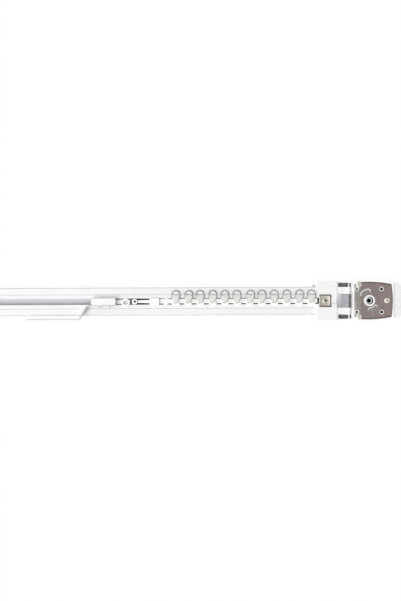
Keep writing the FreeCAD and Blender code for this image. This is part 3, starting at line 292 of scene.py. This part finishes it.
def white_plastic(name, dark, light, shade_places=None):
    """The function given last tells where the colour is painted near black as shade."""
    material, tree, place = new_finish(name)
    sink = mottle(tree, place, size=0.012, detail=1)
    scuff = mottle(tree, place, size=0.0016, detail=5)
    colour = blended(tree, mottle(tree, place, size=0.02), dark, light)
    # Painted shade, near black, where the function given last says.
    if shade_places:
        colour = blended(tree, shade_places(*directions(tree, place)), colour, painted_shade_black)
    return close_finish(
        material, tree, colour, 0.27 + 0.16 * scuff, relief=sink + 0.15 * scuff, strength=0.10, depth=0.0002,
    )


def softened(name, radius, material):
    """A CAD node with the small round edges that a mould leaves."""
    source = nodes[name]
    mesh = bpy.data.meshes.new(f"{name}_moulded")
    work = bmesh.new()
    work.from_mesh(source.data)
    bmesh.ops.remove_doubles(work, verts=work.verts, dist=weld_within)
    bmesh.ops.dissolve_limit(work, angle_limit=flat_within, verts=work.verts, edges=work.edges)
    bmesh.ops.triangulate(work, faces=[face for face in work.faces if len(face.verts) > 4])
    work.to_mesh(mesh)
    work.free()
    mesh.materials.append(material)
    mesh.shade_smooth()
    piece = bpy.data.objects.new(f"{name}_moulded", mesh)
    bpy.context.scene.collection.objects.link(piece)
    edges = piece.modifiers.new("round_edges", "BEVEL")
    edges.width = radius
    edges.segments = 2
    edges.limit_method = "ANGLE"
    edges.angle_limit = corner_over
    edges.miter_outer = "MITER_ARC"
    flat = piece.modifiers.new("flat_faces", "WEIGHTED_NORMAL")
    flat.keep_sharp = True
    bpy.context.view_layer.update()
    rounded = bpy.data.meshes.new_from_object(piece.evaluated_get(bpy.context.evaluated_depsgraph_get()))
    piece.modifiers.clear()
    piece.data = rounded
    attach(piece, source["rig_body"])
    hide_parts(name)


moulded_white = white_plastic("moulded_white", *dull_white)
collar_white = white_plastic("collar_white", *dull_white, in_neck_windows)
running_white = white_plastic("running_white", *painted_lighter_white, in_profile)
cover_white = white_plastic("cover_white", *painted_lighter_white, in_peg_holes)
for name, radius, material in (
    ("drive_collar", 0.0006, collar_white),
    ("gear_base", 0.0006, moulded_white),
    ("gear_cover", 0.0003, cover_white),
    ("idler_box", 0.0008, moulded_white),
    ("idler_cover", 0.0006, moulded_white),
    ("carrier_head", 0.0012, moulded_white),
    ("carrier_chassis", 0.0003, running_white),
    ("hook_eye", 0.0003, running_white),
    ("link_bar", 0.0003, running_white),
    ("tail_trolley", 0.0004, running_white),
):
    softened(name, radius, material)
dress(["belt_clamp", "wheels_front", "wheels_middle", "wheels_rear"], running_white)
dress(["idler_pulley"], moulded_white)


# The end cap. A lower flange of light grey plastic that closes the drive box and snaps onto its end.
# Its mould was etched, so it is matt where the box is glossy.
def cap_plastic():
    material, tree, place = new_finish("cap_plastic")
    grain = mottle(tree, place, size=0.0006)
    colour = blended(tree, mottle(tree, place, size=0.015), (0.85, 0.85, 0.835), (0.91, 0.905, 0.89))
    return close_finish(
        material, tree, colour, 0.5 + 0.15 * grain, relief=grain, strength=0.25, depth=0.00008,
    )


softened("end_cap", 0.0007, cap_plastic())


# The motor plate. A sheet of taupe grey steel, zinc passivated and tumbled: a fine speckled grain,
# browner to the right and greyer at the left, and painted darker along its border as the shade of the
# cover's rim that it lies in. Two bayonet recesses are pressed into it round the hub, with a painted
# highlight along their upper edges, and its cut edges have a faint painted highlight.
plate_low, plate_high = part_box("motor_plate")
plate_near = 0.0190
plate_shoulder = 0.0219
plate_wide = 0.0225
plate_far = 0.0196
plate_corner = 0.0045
plate_bulge = 0.0015
long_side_bow = 4.5
far_end_bow = 3.8
hub_hole = 0.0070
recess_middle = 0.0112
recess_half = 0.0020
recess_depth = 0.0010
recess_start = 96.5
recess_sweep = 38.0
boss_hole = 0.0027
plate_screw_hole = 0.0015
plate_screw_places = ((0.0054, 0.0193), (0.0054, -0.0193), (0.0390, 0.0))
grey_strip = (0.0085, 0.0055)
pale_edge = (0.0016, 0.0006)
side_shade_band = (0.0021, 0.0008)
end_shade_band = (0.0014, 0.0004)
sharp_over = math.radians(38)


def arc(centre, radius, first, last, count):
    """Points on an arc, angles in radians."""
    turns = [first + (last - first) * n / (count - 1) for n in range(count)]
    return [Vector((centre[0] + radius * math.cos(t), centre[1] + radius * math.sin(t))) for t in turns]


def circle(centre, radius, count):
    return arc(centre, radius, 0, 2 * math.pi, count + 1)[:-1]


def through(start, via, end, count):
    """Points on the arc from start through via to end, without the end itself."""
    ax, ay, bx, by, cx, cy = *start, *via, *end
    d = 2 * (ax * (by - cy) + bx * (cy - ay) + cx * (ay - by))
    a2, b2, c2 = ax * ax + ay * ay, bx * bx + by * by, cx * cx + cy * cy
    x = (a2 * (by - cy) + b2 * (cy - ay) + c2 * (ay - by)) / d
    y = (a2 * (cx - bx) + b2 * (ax - cx) + c2 * (bx - ax)) / d
    first = math.atan2(ay - y, ax - x)
    last = math.atan2(cy - y, cx - x)
    sweep = math.remainder(last - first, 2 * math.pi)
    return arc((x, y), math.hypot(ax - x, ay - y), first, first + sweep, count)[:-1]


def shifted(loop, distance):
    """A closed outline whose points are moved to the left of their path."""
    result = []
    for n, here in enumerate(loop):
        before = (here - loop[n - 1]).normalized()
        after = (loop[(n + 1) % len(loop)] - here).normalized()
        left = Vector((-before.y - after.y, before.x + after.x)).normalized()
        slack = max(0.6, left.dot(Vector((-before.y, before.x))))
        result.append(here + left * (distance / slack))
    return result


def bridge(work, first, second):
    """A band of faces between two closed rows of points."""
    count = len(first)
    for n in range(count):
        m = (n + 1) % count
        work.faces.new((first[n], first[m], second[m], second[n]))


def slab(work, loops, low, high, flat_below=False):
    """A flat piece. Each loop has points, a side (1 outside, -1 hole) and steps from its wall to the face:
    how far in, how far below the face, and its shade, a number or what gives one for a point. Its lower
    face has the same steps, or none if it is flat_below."""
    shade = work.verts.layers.float.get("rim") or work.verts.layers.float.new("rim")
    walls = []
    for face, level in ((1, high), (-1, low)):
        inner = []
        walls.append([])
        for points, side, steps in loops:
            if flat_below and face < 0:
                steps = [(0.0, 0.0, steps[0][2])]
            rows = []
            for inset, drop, tone in steps:
                height = level - face * drop
                row = [work.verts.new((p.x, p.y, height)) for p in shifted(points, inset * side)]
                for vert in row:
                    vert[shade] = tone(vert.co) if callable(tone) else tone
                rows.append(row)
            for one, two in zip(rows, rows[1:]):
                bridge(work, one, two)
            walls[-1].append(rows[0])
            last = rows[-1]
            for pair in zip(last[-1:] + last[:-1], last):
                inner.append(work.edges.get(pair) or work.edges.new(pair))
        bmesh.ops.triangle_fill(work, use_beauty=True, use_dissolve=False, edges=inner)
    for one, two in zip(*walls):
        bridge(work, one, two)


def finished(work, name, material):
    """Turns mesh work into an object with outward faces and sharp corners kept."""
    bmesh.ops.recalc_face_normals(work, faces=work.faces)
    mesh = bpy.data.meshes.new(name)
    work.to_mesh(mesh)
    work.free()
    mesh.materials.append(material)
    mesh.shade_smooth()
    mesh.set_sharp_from_angle(angle=sharp_over)
    piece = bpy.data.objects.new(name, mesh)
    bpy.context.scene.collection.objects.link(piece)
    return piece


def rim_shade(tree):
    """The shade that slab gives to the points of a mesh."""
    return node(tree, "ShaderNodeAttribute", {"attribute_name": "rim"}, {}, output="Fac")


def plate_outline():
    x0, x1 = plate_low.x, plate_high.x
    corner = x0 + plate_corner
    flat_end = x1 - plate_bulge
    points = [Vector((x0, -plate_near))]
    points += through((corner, -plate_shoulder), (hub_x, -plate_wide), (flat_end, -plate_far), count=30)
    points += through((flat_end, -plate_far), (x1, 0), (flat_end, plate_far), count=20)
    points += through((flat_end, plate_far), (hub_x, plate_wide), (corner, plate_shoulder), count=30)
    return points + [Vector((corner, plate_shoulder)), Vector((x0, plate_near))]


def recess_outline(start):
    """A bayonet recess with round ends."""
    first, last = math.radians(start), math.radians(start + recess_sweep)
    outer = arc((hub_x, 0), recess_middle + recess_half, first, last, count=16)
    inner = arc((hub_x, 0), recess_middle - recess_half, last, first, count=16)
    ends = []
    for turn, outward in ((last, last), (first, first + math.pi)):
        centre = (hub_x + recess_middle * math.cos(turn), recess_middle * math.sin(turn))
        ends.append(arc(centre, recess_half, outward, outward + math.pi, count=8)[1:-1])
    return outer + ends[0] + inner + ends[1]


def taupe_steel():
    material, tree, place = new_finish("taupe_steel")
    along, across, up = directions(tree, place)
    speckle = mottle(tree, place, size=0.0014, detail=5)
    cloud = mottle(tree, place, size=0.004, detail=4)
    brushed = mottle(tree, place, size=0.0015, stretch=(1, 0.12, 1))
    brown = ramp(tree, along, plate_low.x, plate_high.x)
    base = blended(tree, brown, (0.225, 0.200, 0.188), (0.265, 0.220, 0.205))
    base = blended(tree, cloud, base, (0.27, 0.218, 0.212))
    from_left = along - plate_low.x
    base = blended(tree, ramp(tree, from_left, *grey_strip), base, (0.31, 0.295, 0.275))
    base = blended(tree, ramp(tree, from_left, *pale_edge), base, (0.46, 0.455, 0.44))
    base = blended(tree, up < plate_high.z - 0.6 * recess_depth, base, (0.30, 0.285, 0.275))
    grain = blended(tree, 0.6 * speckle + 0.4 * brushed, (0.25, 0.25, 0.25), (1.65, 1.65, 1.65))
    grained = blended(tree, 1.0, base, grain, "MULTIPLY")
    from_hub = along - hub_x
    to_side = plate_wide - long_side_bow * from_hub * from_hub - abs(across)
    to_end = plate_high.x - far_end_bow * across * across - along
    # Painted shade along the border, where the plate lies in the cover's rim.
    sides = ramp(tree, to_side, *side_shade_band)
    edge_shade = sides + (1.0 - sides) * ramp(tree, to_end, *end_shade_band)
    edge_shaded = blended(tree, 0.75 * edge_shade, grained, (0.10, 0.07, 0.07))
    # Painted highlights: bright on the recesses' upper edges and faint on the cut edges.
    colour = blended(tree, rim_shade(tree), edge_shaded, (0.85, 0.84, 0.82))
    return close_finish(
        material, tree, colour, 0.42 + 0.25 * speckle, relief=speckle, strength=0.35, depth=0.00012,
        metal=0.55,
    )


def motor_plate():
    work = bmesh.new()
    # The cut edges get a faint painted highlight.
    plain = [(0.0, 0.0001, 0.2), (0.0001, 0.0, 0.0)]
    shared = [(plate_outline(), 1, plain), (circle((hub_x, 0), hub_hole, count=48), -1, plain)]
    for x in (-boss_half_x, boss_half_x):
        for y in (-boss_half_y, boss_half_y):
            shared.append((circle((hub_x + x, y), boss_hole, count=28), -1, plain))
    for x, y in plate_screw_places:
        shared.append((circle((plate_low.x + x, y), plate_screw_hole, count=16), -1, plain))
    recesses = []
    for turn, lit_side in ((0, 1), (180, -1)):

        def wear_and_highlight(point, lit_side=lit_side):
            """A painted highlight: bright on the recess's upper long edge."""
            outward = math.hypot(point.x - hub_x, point.y) - recess_middle
            return min(1.0, max(0.1, 0.6 + lit_side * outward / recess_half))

        steps = [(0.0, 0.0003, wear_and_highlight), (0.0003, 0.0, wear_and_highlight), (0.0009, 0.0, wear_and_highlight), (0.0013, 0.0, 0.0)]
        recesses.append((recess_outline(recess_start + turn), -1, steps))
    floor = plate_high.z - recess_depth
    slab(work, shared + recesses, floor, plate_high.z)
    slab(work, shared, plate_low.z, floor)
    return finished(work, "motor_plate_sheet", taupe_steel())


plate = motor_plate()
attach(plate, "track")
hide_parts("motor_plate")


# The pan-head screws. Steel, nickel plated and a little yellow, with a cross recess, three in the motor
# plate, four in the idler's cover, and one through the end stop. Their cross recesses, the edges of their
# heads and the sides under them are painted darker as shade.
head_radius = 0.0036
shank_radius = 0.0015
cross_reach = 0.6 * head_radius
cross_half = 0.15 * head_radius
stop_low, stop_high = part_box("end_stop_plate")
stop_middle = (stop_low.x + stop_high.x) / 2


def nickel(name, dark, light):
    material, tree, place = new_finish(name)
    spots = mottle(tree, place, size=0.0009, detail=4)
    plated = blended(tree, spots, dark, light)
    # Where a mesh's points say so, the colour is painted darker as shade.
    colour = blended(tree, rim_shade(tree), plated, (0.09, 0.075, 0.05))
    return close_finish(
        material, tree, colour, 0.32 + 0.25 * spots, relief=spots, strength=0.2, depth=0.00006, metal=0.5,
    )


def cross(x, y):
    outline = []
    for turn in range(4):
        for corner in ((cross_reach, cross_half), (cross_half, cross_half), (cross_half, cross_reach)):
            outline.append(Vector((x, y)) + Matrix.Rotation(turn * math.pi / 2, 2) @ Vector(corner))
    return outline


def pan_head(work, x, y, seat, height, length, shade_amount):
    """A domed head with a cross recess on a plain shank, painted darker as shade in the recess, at the
    head's edge and under it.
    """
    dome = [
        (0.0, 0.62 * height, 0.2 * shade_amount), (0.06 * head_radius, 0.32 * height, 0.0),
        (0.17 * head_radius, 0.12 * height, 0.0), (0.33 * head_radius, 0.0, 0.3 * shade_amount * shade_amount),
    ]
    recess = [(0.0, 0.0001, shade_amount), (0.0001, 0.0, 0.5 * shade_amount)]
    floor = seat + 0.35 * height
    ring = circle((x, y), head_radius, count=36)
    slab(work, [(cross(x, y), -1, recess), (ring, 1, dome)], floor, seat + height, flat_below=True)
    slab(work, [(ring, 1, [(0.0, 0.0, shade_amount)])], seat, floor)
    slab(work, [(circle((x, y), shank_radius, count=16), 1, [(0.0, 0.0, 0.0)])], seat - length, seat)


nickel_plate = nickel("nickel", (0.66, 0.64, 0.55), (0.90, 0.88, 0.79))
work = bmesh.new()
for x, y in plate_screw_places:
    pan_head(work, plate_low.x + x, y, plate_high.z, height=0.0019, length=0.009, shade_amount=0.35)
piece = finished(work, "plate_screws_domed", nickel_plate)
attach(piece, "track")
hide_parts("plate_screws")
work = bmesh.new()
pan_head(work, stop_middle, 0.0, stop_high.z, height=0.0015, length=0.0066, shade_amount=1.0)
piece = finished(work, "end_stop_screw_domed", nickel_plate)
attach(piece, "track")
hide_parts("end_stop_screw")
softened("idler_screws", 0.0002, nickel_plate)


# The end stop. A pressed plate of nickel plated steel in the collar's window, pinkish where it is worn,
# and a lug down in the slot. Its rolled edges are painted dark as a reflection along its long sides and its
# far end, and left light at its near end, where they are lit.
stop_corner = 0.0015
stop_lug = 0.00365
stop_lug_inset = 0.0010
stop_thickness = 0.0016
stop_spacing = 0.001
stop_side_shade = (0.0026, 0.0010)
stop_end_shade = (0.0022, 0.0012)
unshaded_near_end = (0.0008, 0.0024)


def worn_nickel():
    material, tree, place = new_finish("worn_nickel")
    along, across, _ = directions(tree, place)
    spots = mottle(tree, place, size=0.0014, detail=4)
    smear = mottle(tree, place, size=0.004)
    plated = blended(tree, spots, (0.38, 0.345, 0.295), (0.70, 0.655, 0.60))
    # Painted reflection: dark bands along the long sides and the far end, uneven in smears.
    dark_bands = ramp(tree, stop_high.y - abs(across), *stop_side_shade)
    dark_bands = dark_bands + ramp(tree, stop_high.x - along, *stop_end_shade) * (0.8 + smear)
    banded = blended(tree, 0.75 * dark_bands * (0.5 + smear), plated, (0.15, 0.13, 0.09))
    # The rolled edges are painted dark as a reflection, except at the near end, where they are lit.
    rolled = ramp(tree, along - stop_low.x, *unshaded_near_end) * rim_shade(tree)
    colour = blended(tree, rolled * (0.3 + 0.6 * smear), banded, (0.12, 0.10, 0.07))
    return close_finish(
        material, tree, colour, 0.3 + 0.25 * spots, relief=spots + smear, strength=0.3, depth=0.0002,
        metal=0.45,
    )


def spaced(loop, step):
    """A closed outline with points no further apart than step."""
    points = []
    for n, here in enumerate(loop):
        following = loop[(n + 1) % len(loop)]
        parts = max(1, math.ceil((following - here).length / step))
        points += [here.lerp(following, k / parts) for k in range(parts)]
    return points


def stop_plate():
    work = bmesh.new()
    x0, x1, half = stop_low.x, stop_high.x, stop_high.y
    face = stop_high.z - stop_thickness
    outline = []
    for sx, sy, first in ((1, -1, -0.5), (1, 1, 0.0), (-1, 1, 0.5), (-1, -1, 1.0)):
        centre = ((x1 if sx > 0 else x0) - sx * stop_corner, sy * (half - stop_corner))
        outline += arc(centre, stop_corner, first * math.pi, (first + 0.5) * math.pi, count=7)
    # The edges' tones are a painted dark reflection of the rolled edges.
    steps = [
        (0.0, 0.0006, 1.0), (0.0002, 0.0002, 1.0), (0.0006, 0.0, 0.9), (0.0013, 0.0, 0.8),
        (0.0019, 0.0002, 0.0),
    ]
    slab(work, [(spaced(outline, stop_spacing), 1, steps)], face, stop_high.z)
    near, far = x0 + stop_lug_inset, x1 - stop_lug_inset
    corners = ((near, -stop_lug), (far, -stop_lug), (far, stop_lug), (near, stop_lug))
    lug = [Vector(corner) for corner in corners]
    slab(work, [(lug, 1, [(0.0, 0.0002, 0.3), (0.0002, 0.0, 0.0)])], stop_low.z, face)
    return finished(work, "end_stop_pressed", worn_nickel())


piece = stop_plate()
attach(piece, "track")
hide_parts("end_stop_plate")


# The axles. Turned steel with flanged ends, plated like the screws: three pairs of wheels turn on those
# in the carrier, and the idler pulley turns on the one in its box.
dress(["wheel_axles", "idler_axle"], nickel_plate)


# The guide plate. Grey sheet steel in the middle of the neck, rolled along the track, with a painted
# reflection of the collar, paler toward its corner by the collar.
guide_low, guide_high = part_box("guide_plate")
reflection_length = 0.008


def sheet_steel():
    material, tree, place = new_finish("sheet_steel")
    along, across, _ = directions(tree, place)
    rolled = mottle(tree, place, size=0.0012, detail=4, stretch=(0.12, 1, 1))
    cloud = mottle(tree, place, size=0.01, detail=2)
    sheen = blended(tree, 0.6 * rolled + 0.4 * cloud, (0.32, 0.325, 0.35), (0.47, 0.475, 0.50))
    # A painted reflection of the collar, paler toward that corner.
    bright = ramp(tree, along, guide_low.x + reflection_length, guide_low.x)
    bright = bright * ramp(tree, across, guide_low.y, guide_high.y)
    colour = blended(tree, bright, sheen, (0.86, 0.89, 0.88))
    return close_finish(
        material, tree, colour, 0.32 + 0.2 * rolled, relief=rolled, strength=0.2, depth=0.00005, metal=0.8,
    )


dress(["guide_plate"], sheet_steel())


# The drive pulley and the socket insert. The pulley is white nylon, painted near black as shade round its
# steel insert, and the insert is turned, with a hexagon socket for the motor's shaft, painted near black
# inside as shade.
recess_shade_radius = 0.0048
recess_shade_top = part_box("drive_pulley")[1].z - 0.0004
hexagon = 0.00292
socket_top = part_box("socket_insert")[1].z - 0.0001


def from_axis(tree, place):
    """The distance from the drive axis, and the height."""
    along, across, up = directions(tree, place)
    x = along - hub_x
    return node(tree, "ShaderNodeMath", {"operation": "SQRT"}, {0: x * x + across * across}), up


def nylon_with_shaded_recess():
    material, tree, place = new_finish("nylon_with_shaded_recess")
    tone = mottle(tree, place, size=0.01)
    away, up = from_axis(tree, place)
    clean = blended(tree, tone, (0.86, 0.865, 0.87), (0.90, 0.90, 0.90))
    # Painted shade, near black, in the recess round the insert.
    colour = blended(tree, (away < recess_shade_radius) * (up < recess_shade_top), clean, (0.035, 0.04, 0.055))
    return close_finish(
        material, tree, colour, 0.3 + 0.15 * tone, relief=tone, strength=0.1, depth=0.0002,
    )


def turned_steel(name, dark, light, rough, shaded_bore):
    material, tree, place = new_finish(name)
    ridges = mottle(tree, place, size=0.0004, stretch=(1, 1, 4))
    away, up = from_axis(tree, place)
    turned = blended(tree, ridges, dark, light)
    # Painted shade, near black, in the socket within the given radius of the axis.
    colour = blended(tree, (away < shaded_bore) * (up < socket_top), turned, (0.03, 0.035, 0.045))
    return close_finish(
        material, tree, colour, rough + 0.2 * ridges, relief=ridges, strength=0.2, depth=0.00004, metal=0.6,
    )


dress(["drive_pulley"], nylon_with_shaded_recess())
bright_steel = turned_steel(
    "bright_steel", (0.62, 0.66, 0.72), (0.90, 0.93, 0.97), rough=0.25, shaded_bore=hexagon,
)
dress(["socket_insert"], bright_steel)


# The hook eye's rivet and the belt clamp's screw. The rivet is rolled from dull steel tube, and the
# screw is pale plated steel with a hexagon socket in a round-edged head. Its socket, its round edge and
# the side under its head are painted darker as shade.
clamp_low, clamp_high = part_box("clamp_screw")
clamp_x = (clamp_low.x + clamp_high.x) / 2
clamp_head = (clamp_high.x - clamp_low.x) / 2
clamp_seat = clamp_high.z - 0.0020
clamp_round = 0.0004
clamp_socket = 0.0015
clamp_shank = 0.0015


def rounded_steps(radius, tones, count=4):
    """Steps of a quarter round, from the wall to the flat face."""
    steps = []
    for n in range(count + 1):
        turn = n / count * math.pi / 2
        tone = tones[0] + (tones[1] - tones[0]) * n / count
        steps.append((radius * (1 - math.cos(turn)), radius * (1 - math.sin(turn)), tone))
    return steps


def clamp_screw():
    work = bmesh.new()
    under_head = clamp_seat + clamp_round
    # The socket, the round edge and the side under the head are painted darker as shade.
    head = circle((clamp_x, 0), clamp_head, count=32)
    socket = (circle((clamp_x, 0), clamp_socket, count=6), -1, [(0.0, 0.0001, 1.0), (0.0001, 0.0, 0.6)])
    slab(work, [(head, 1, rounded_steps(clamp_round, (0.3, 0.0))), socket], under_head, clamp_high.z)
    slab(work, [(head, 1, [(0.0, 0.0, 1.0)])], clamp_seat, under_head)
    shank = circle((clamp_x, 0), clamp_shank, count=16)
    slab(work, [(shank, 1, [(0.0, 0.0, 0.0)])], clamp_low.z, clamp_seat)
    pale_steel = nickel("pale_steel", (0.82, 0.82, 0.81), (0.93, 0.93, 0.92))
    return finished(work, "clamp_screw_socketed", pale_steel)


dull_steel = turned_steel("dull_steel", (0.34, 0.35, 0.33), (0.48, 0.49, 0.46), rough=0.35, shaded_bore=0.0)
dress(["eye_rivet"], dull_steel)
piece = clamp_screw()
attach(piece, "carrier")
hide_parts("clamp_screw")


# The two bushes. Sintered bronze, porous and oily, pressed into the housing, where the drive pulley's
# two journals turn in them.
def bronze():
    material, tree, place = new_finish("bronze")
    pores = mottle(tree, place, size=0.0005, detail=4)
    colour = blended(tree, pores, (0.28, 0.18, 0.09), (0.45, 0.31, 0.16))
    return close_finish(
        material, tree, colour, 0.4 + 0.2 * pores, relief=pores, strength=0.3, depth=0.00005, metal=0.8,
    )


dress(["lower_bush", "upper_bush"], bronze())


# The lead arm. A bent steel strip on edge, painted white, thin at its cut edges, with its two screws
# painted over.
def arm_paint():
    material, tree, place = new_finish("arm_paint")
    peel = mottle(tree, place, size=0.0009, detail=2)
    chip = mottle(tree, place, size=0.004, detail=5)
    colour = blended(tree, chip, (0.66, 0.66, 0.65), (0.76, 0.76, 0.755))
    return close_finish(
        material, tree, colour, 0.36 + 0.15 * chip, relief=peel, strength=0.15, depth=0.0001,
    )


painted = arm_paint()
softened("lead_arm", 0.0002, painted)
softened("arm_screws", 0.0003, painted)


# The gliders. Thirteen small white nylon mouldings: a head inside the profile, a stem in the slot, a
# round boss and two cheeks.
dress([name for name in nodes if name.startswith("glider_")], running_white)


# The rings. Flat keyhole-shaped loops of clear nylon with a D-shaped hole for the curtain's hook. Each
# hangs on a pin in its glider's cheeks. The rims are rounded and painted darker than the middle as shade,
# and they thin out toward the neck, where the painted shade fades. The neck's bar and the pin are painted
# darker as shade too.
ring_half = 0.0009
ring_round = 0.0007
ring_flat = 0.0011
ring_neck = 0.0024
ring_straight = 0.0017
ring_shoulder = 0.0060
ring_centre = 0.0100
ring_radius = 0.0053
ring_hole = 0.0041
ring_hole_round = 0.0002
ring_base = 0.0092
ring_spacing = 0.0008
pin_radius = 0.0007
pin_reach = 0.0037


def clear_nylon():
    material, tree, place = new_finish("clear_nylon")
    flow = mottle(tree, place, size=0.003)
    inside = blended(tree, flow, (0.72, 0.715, 0.68), (0.86, 0.855, 0.83))
    # The rims are painted darker as shade.
    colour = blended(tree, rim_shade(tree), inside, (0.25, 0.245, 0.225))
    clear = {"Transmission Weight": 0.08, "IOR": 1.5}
    return close_finish(
        material, tree, colour, 0.2 + 0.12 * flow, relief=flow, strength=0.1, depth=0.0001, **clear,
    )


def bar(work, radius, reach, tone, count=14):
    """A round pin along X, through the origin."""
    shade = work.verts.layers.float.get("rim")
    rows = []
    for x in (-reach, reach):
        turns = [2 * math.pi * n / count for n in range(count)]
        row = [work.verts.new((x, radius * math.cos(t), radius * math.sin(t))) for t in turns]
        for vert in row:
            vert[shade] = tone
        work.faces.new(row)
        rows.append(row)
    bridge(work, *rows)


def ring_shape(work):
    outer = [Vector((-ring_neck, 0)), Vector((ring_neck, 0)), Vector((ring_neck, ring_straight))]
    outer += [Vector((ring_radius, ring_shoulder))]
    outer += arc((0, ring_centre), ring_radius, 0, math.pi, count=32)
    outer += [Vector((-ring_radius, ring_shoulder)), Vector((-ring_neck, ring_straight))]
    corner = -math.asin((ring_centre - ring_base) / ring_hole)
    hole = arc((0, ring_centre), ring_hole, corner, math.pi - corner, count=30)

    def shaded(tone):
        """The rim's painted shade, which fades toward the neck."""
        fade = ring_shoulder - ring_straight
        return lambda point: tone * min(1.0, max(0.0, (point.y - ring_straight) / fade))

    edge = [(inset, drop, shaded(tone)) for inset, drop, tone in rounded_steps(ring_round, (1.0, 0.85))]
    edge.append((ring_flat, 0, 0.0))
    rim = rounded_steps(ring_hole_round, (0.12, 0.05))
    loops = [(spaced(outer, ring_spacing), 1, edge), (spaced(hole, ring_spacing), -1, rim)]
    slab(work, loops, -ring_half, ring_half)
    # The neck's bar and the pin are painted darker as shade.
    bar(work, ring_half, ring_neck, tone=0.1)
    bar(work, pin_radius, pin_reach, tone=0.8)


nylon = clear_nylon()
for joint in frame["joints"]:
    if not joint["name"].endswith("_flop"):
        continue
    name = joint["name"].removesuffix("_flop")
    work = bmesh.new()
    ring_shape(work)
    turned = math.atan2(joint["axis"][1], joint["axis"][0])
    work.transform(Matrix.Translation(joint["pos_m"]) @ Matrix.Rotation(turned, 4, "Z"))
    piece = finished(work, f"{name}_loop", nylon)
    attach(piece, joint["child"])
    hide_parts(name)


# The stage. A white floor under the track that keeps a faint shadow, and soft studio light: an even
# white world, a wide key lamp from above, and a low fill from the left.
floor_size = 4.0
floor_gap = 0.0002
floor_grey = (0.95, 0.95, 0.95, 1)
floor_glow = 0.93
white = (1, 1, 1, 1)


def seen_by(tree, ray):
    return node(tree, "ShaderNodeLightPath", {}, {}, output=f"Is {ray} Ray")


def white_floor():
    material, tree, _ = new_finish("white_floor")
    plain = node(tree, "ShaderNodeBsdfDiffuse", {}, {"Color": floor_grey})
    bright = node(tree, "ShaderNodeEmission", {}, {"Color": white, "Strength": 1.0})
    rays = seen_by(tree, "Camera") + seen_by(tree, "Glossy") + seen_by(tree, "Transmission")
    amount = node(tree, "ShaderNodeClamp", {}, {"Value": rays})
    mixed = node(tree, "ShaderNodeMixShader", {}, {0: floor_glow * amount, 1: plain, 2: bright})
    node(tree, "ShaderNodeOutputMaterial", {}, {"Surface": mixed})
    return material


def add_floor():
    mesh = bpy.data.meshes.new("floor")
    half = floor_size / 2
    corners = [(-half, -half, 0), (half, -half, 0), (half, half, 0), (-half, half, 0)]
    mesh.from_pydata(corners, [], [(0, 1, 2, 3)])
    mesh.materials.append(white_floor())
    floor = bpy.data.objects.new("floor", mesh)
    floor.location.z = -floor_gap
    bpy.context.scene.collection.objects.link(floor)


def add_softbox(name, toward, softness, power):
    """A large far lamp that shines from toward, as even over the whole track as a big softbox."""
    light = bpy.data.lights.new(name, "SUN")
    light.angle = math.radians(softness)
    light.energy = power
    lamp = bpy.data.objects.new(name, light)
    lamp.rotation_euler = Vector(toward).to_track_quat("Z", "Y").to_euler()
    bpy.context.scene.collection.objects.link(lamp)


def add_world(strength):
    """Even light from all round, and plain white where the camera sees it."""
    world = bpy.data.worlds.new("studio")
    world.use_nodes = True
    tree = world.node_tree
    tree.nodes.clear()
    shine = node(tree, "ShaderNodeBackground", {}, {"Color": white, "Strength": strength})
    backdrop = node(tree, "ShaderNodeBackground", {}, {"Color": white, "Strength": 1.0})
    mixed = node(tree, "ShaderNodeMixShader", {}, {0: seen_by(tree, "Camera"), 1: shine, 2: backdrop})
    node(tree, "ShaderNodeOutputWorld", {}, {"Surface": mixed})
    bpy.context.scene.world = world


add_floor()
add_world(strength=0.44)
add_softbox("key", toward=(-0.34, -0.19, 1.0), softness=34, power=1.76)
add_softbox("left_fill", toward=(-1.0, -0.06, 0.12), softness=40, power=1.7)

# The camera. Straight above the middle of the picture and close enough for the photograph's perspective,
# turned by the quarter degree that the photograph leans.
camera = bpy.data.cameras.new("camera")
camera.sensor_fit = "AUTO"
camera.sensor_width = 36.0
camera.lens = 44.9
camera.clip_start = 0.01
eye = bpy.data.objects.new("camera", camera)
eye.location = (0.1562, 0.001, 0.930)
eye.rotation_euler = (0, 0, math.radians(-0.26))
bpy.context.scene.collection.objects.link(eye)
bpy.context.scene.camera = eye
bpy.context.scene.view_settings.view_transform = "Standard"
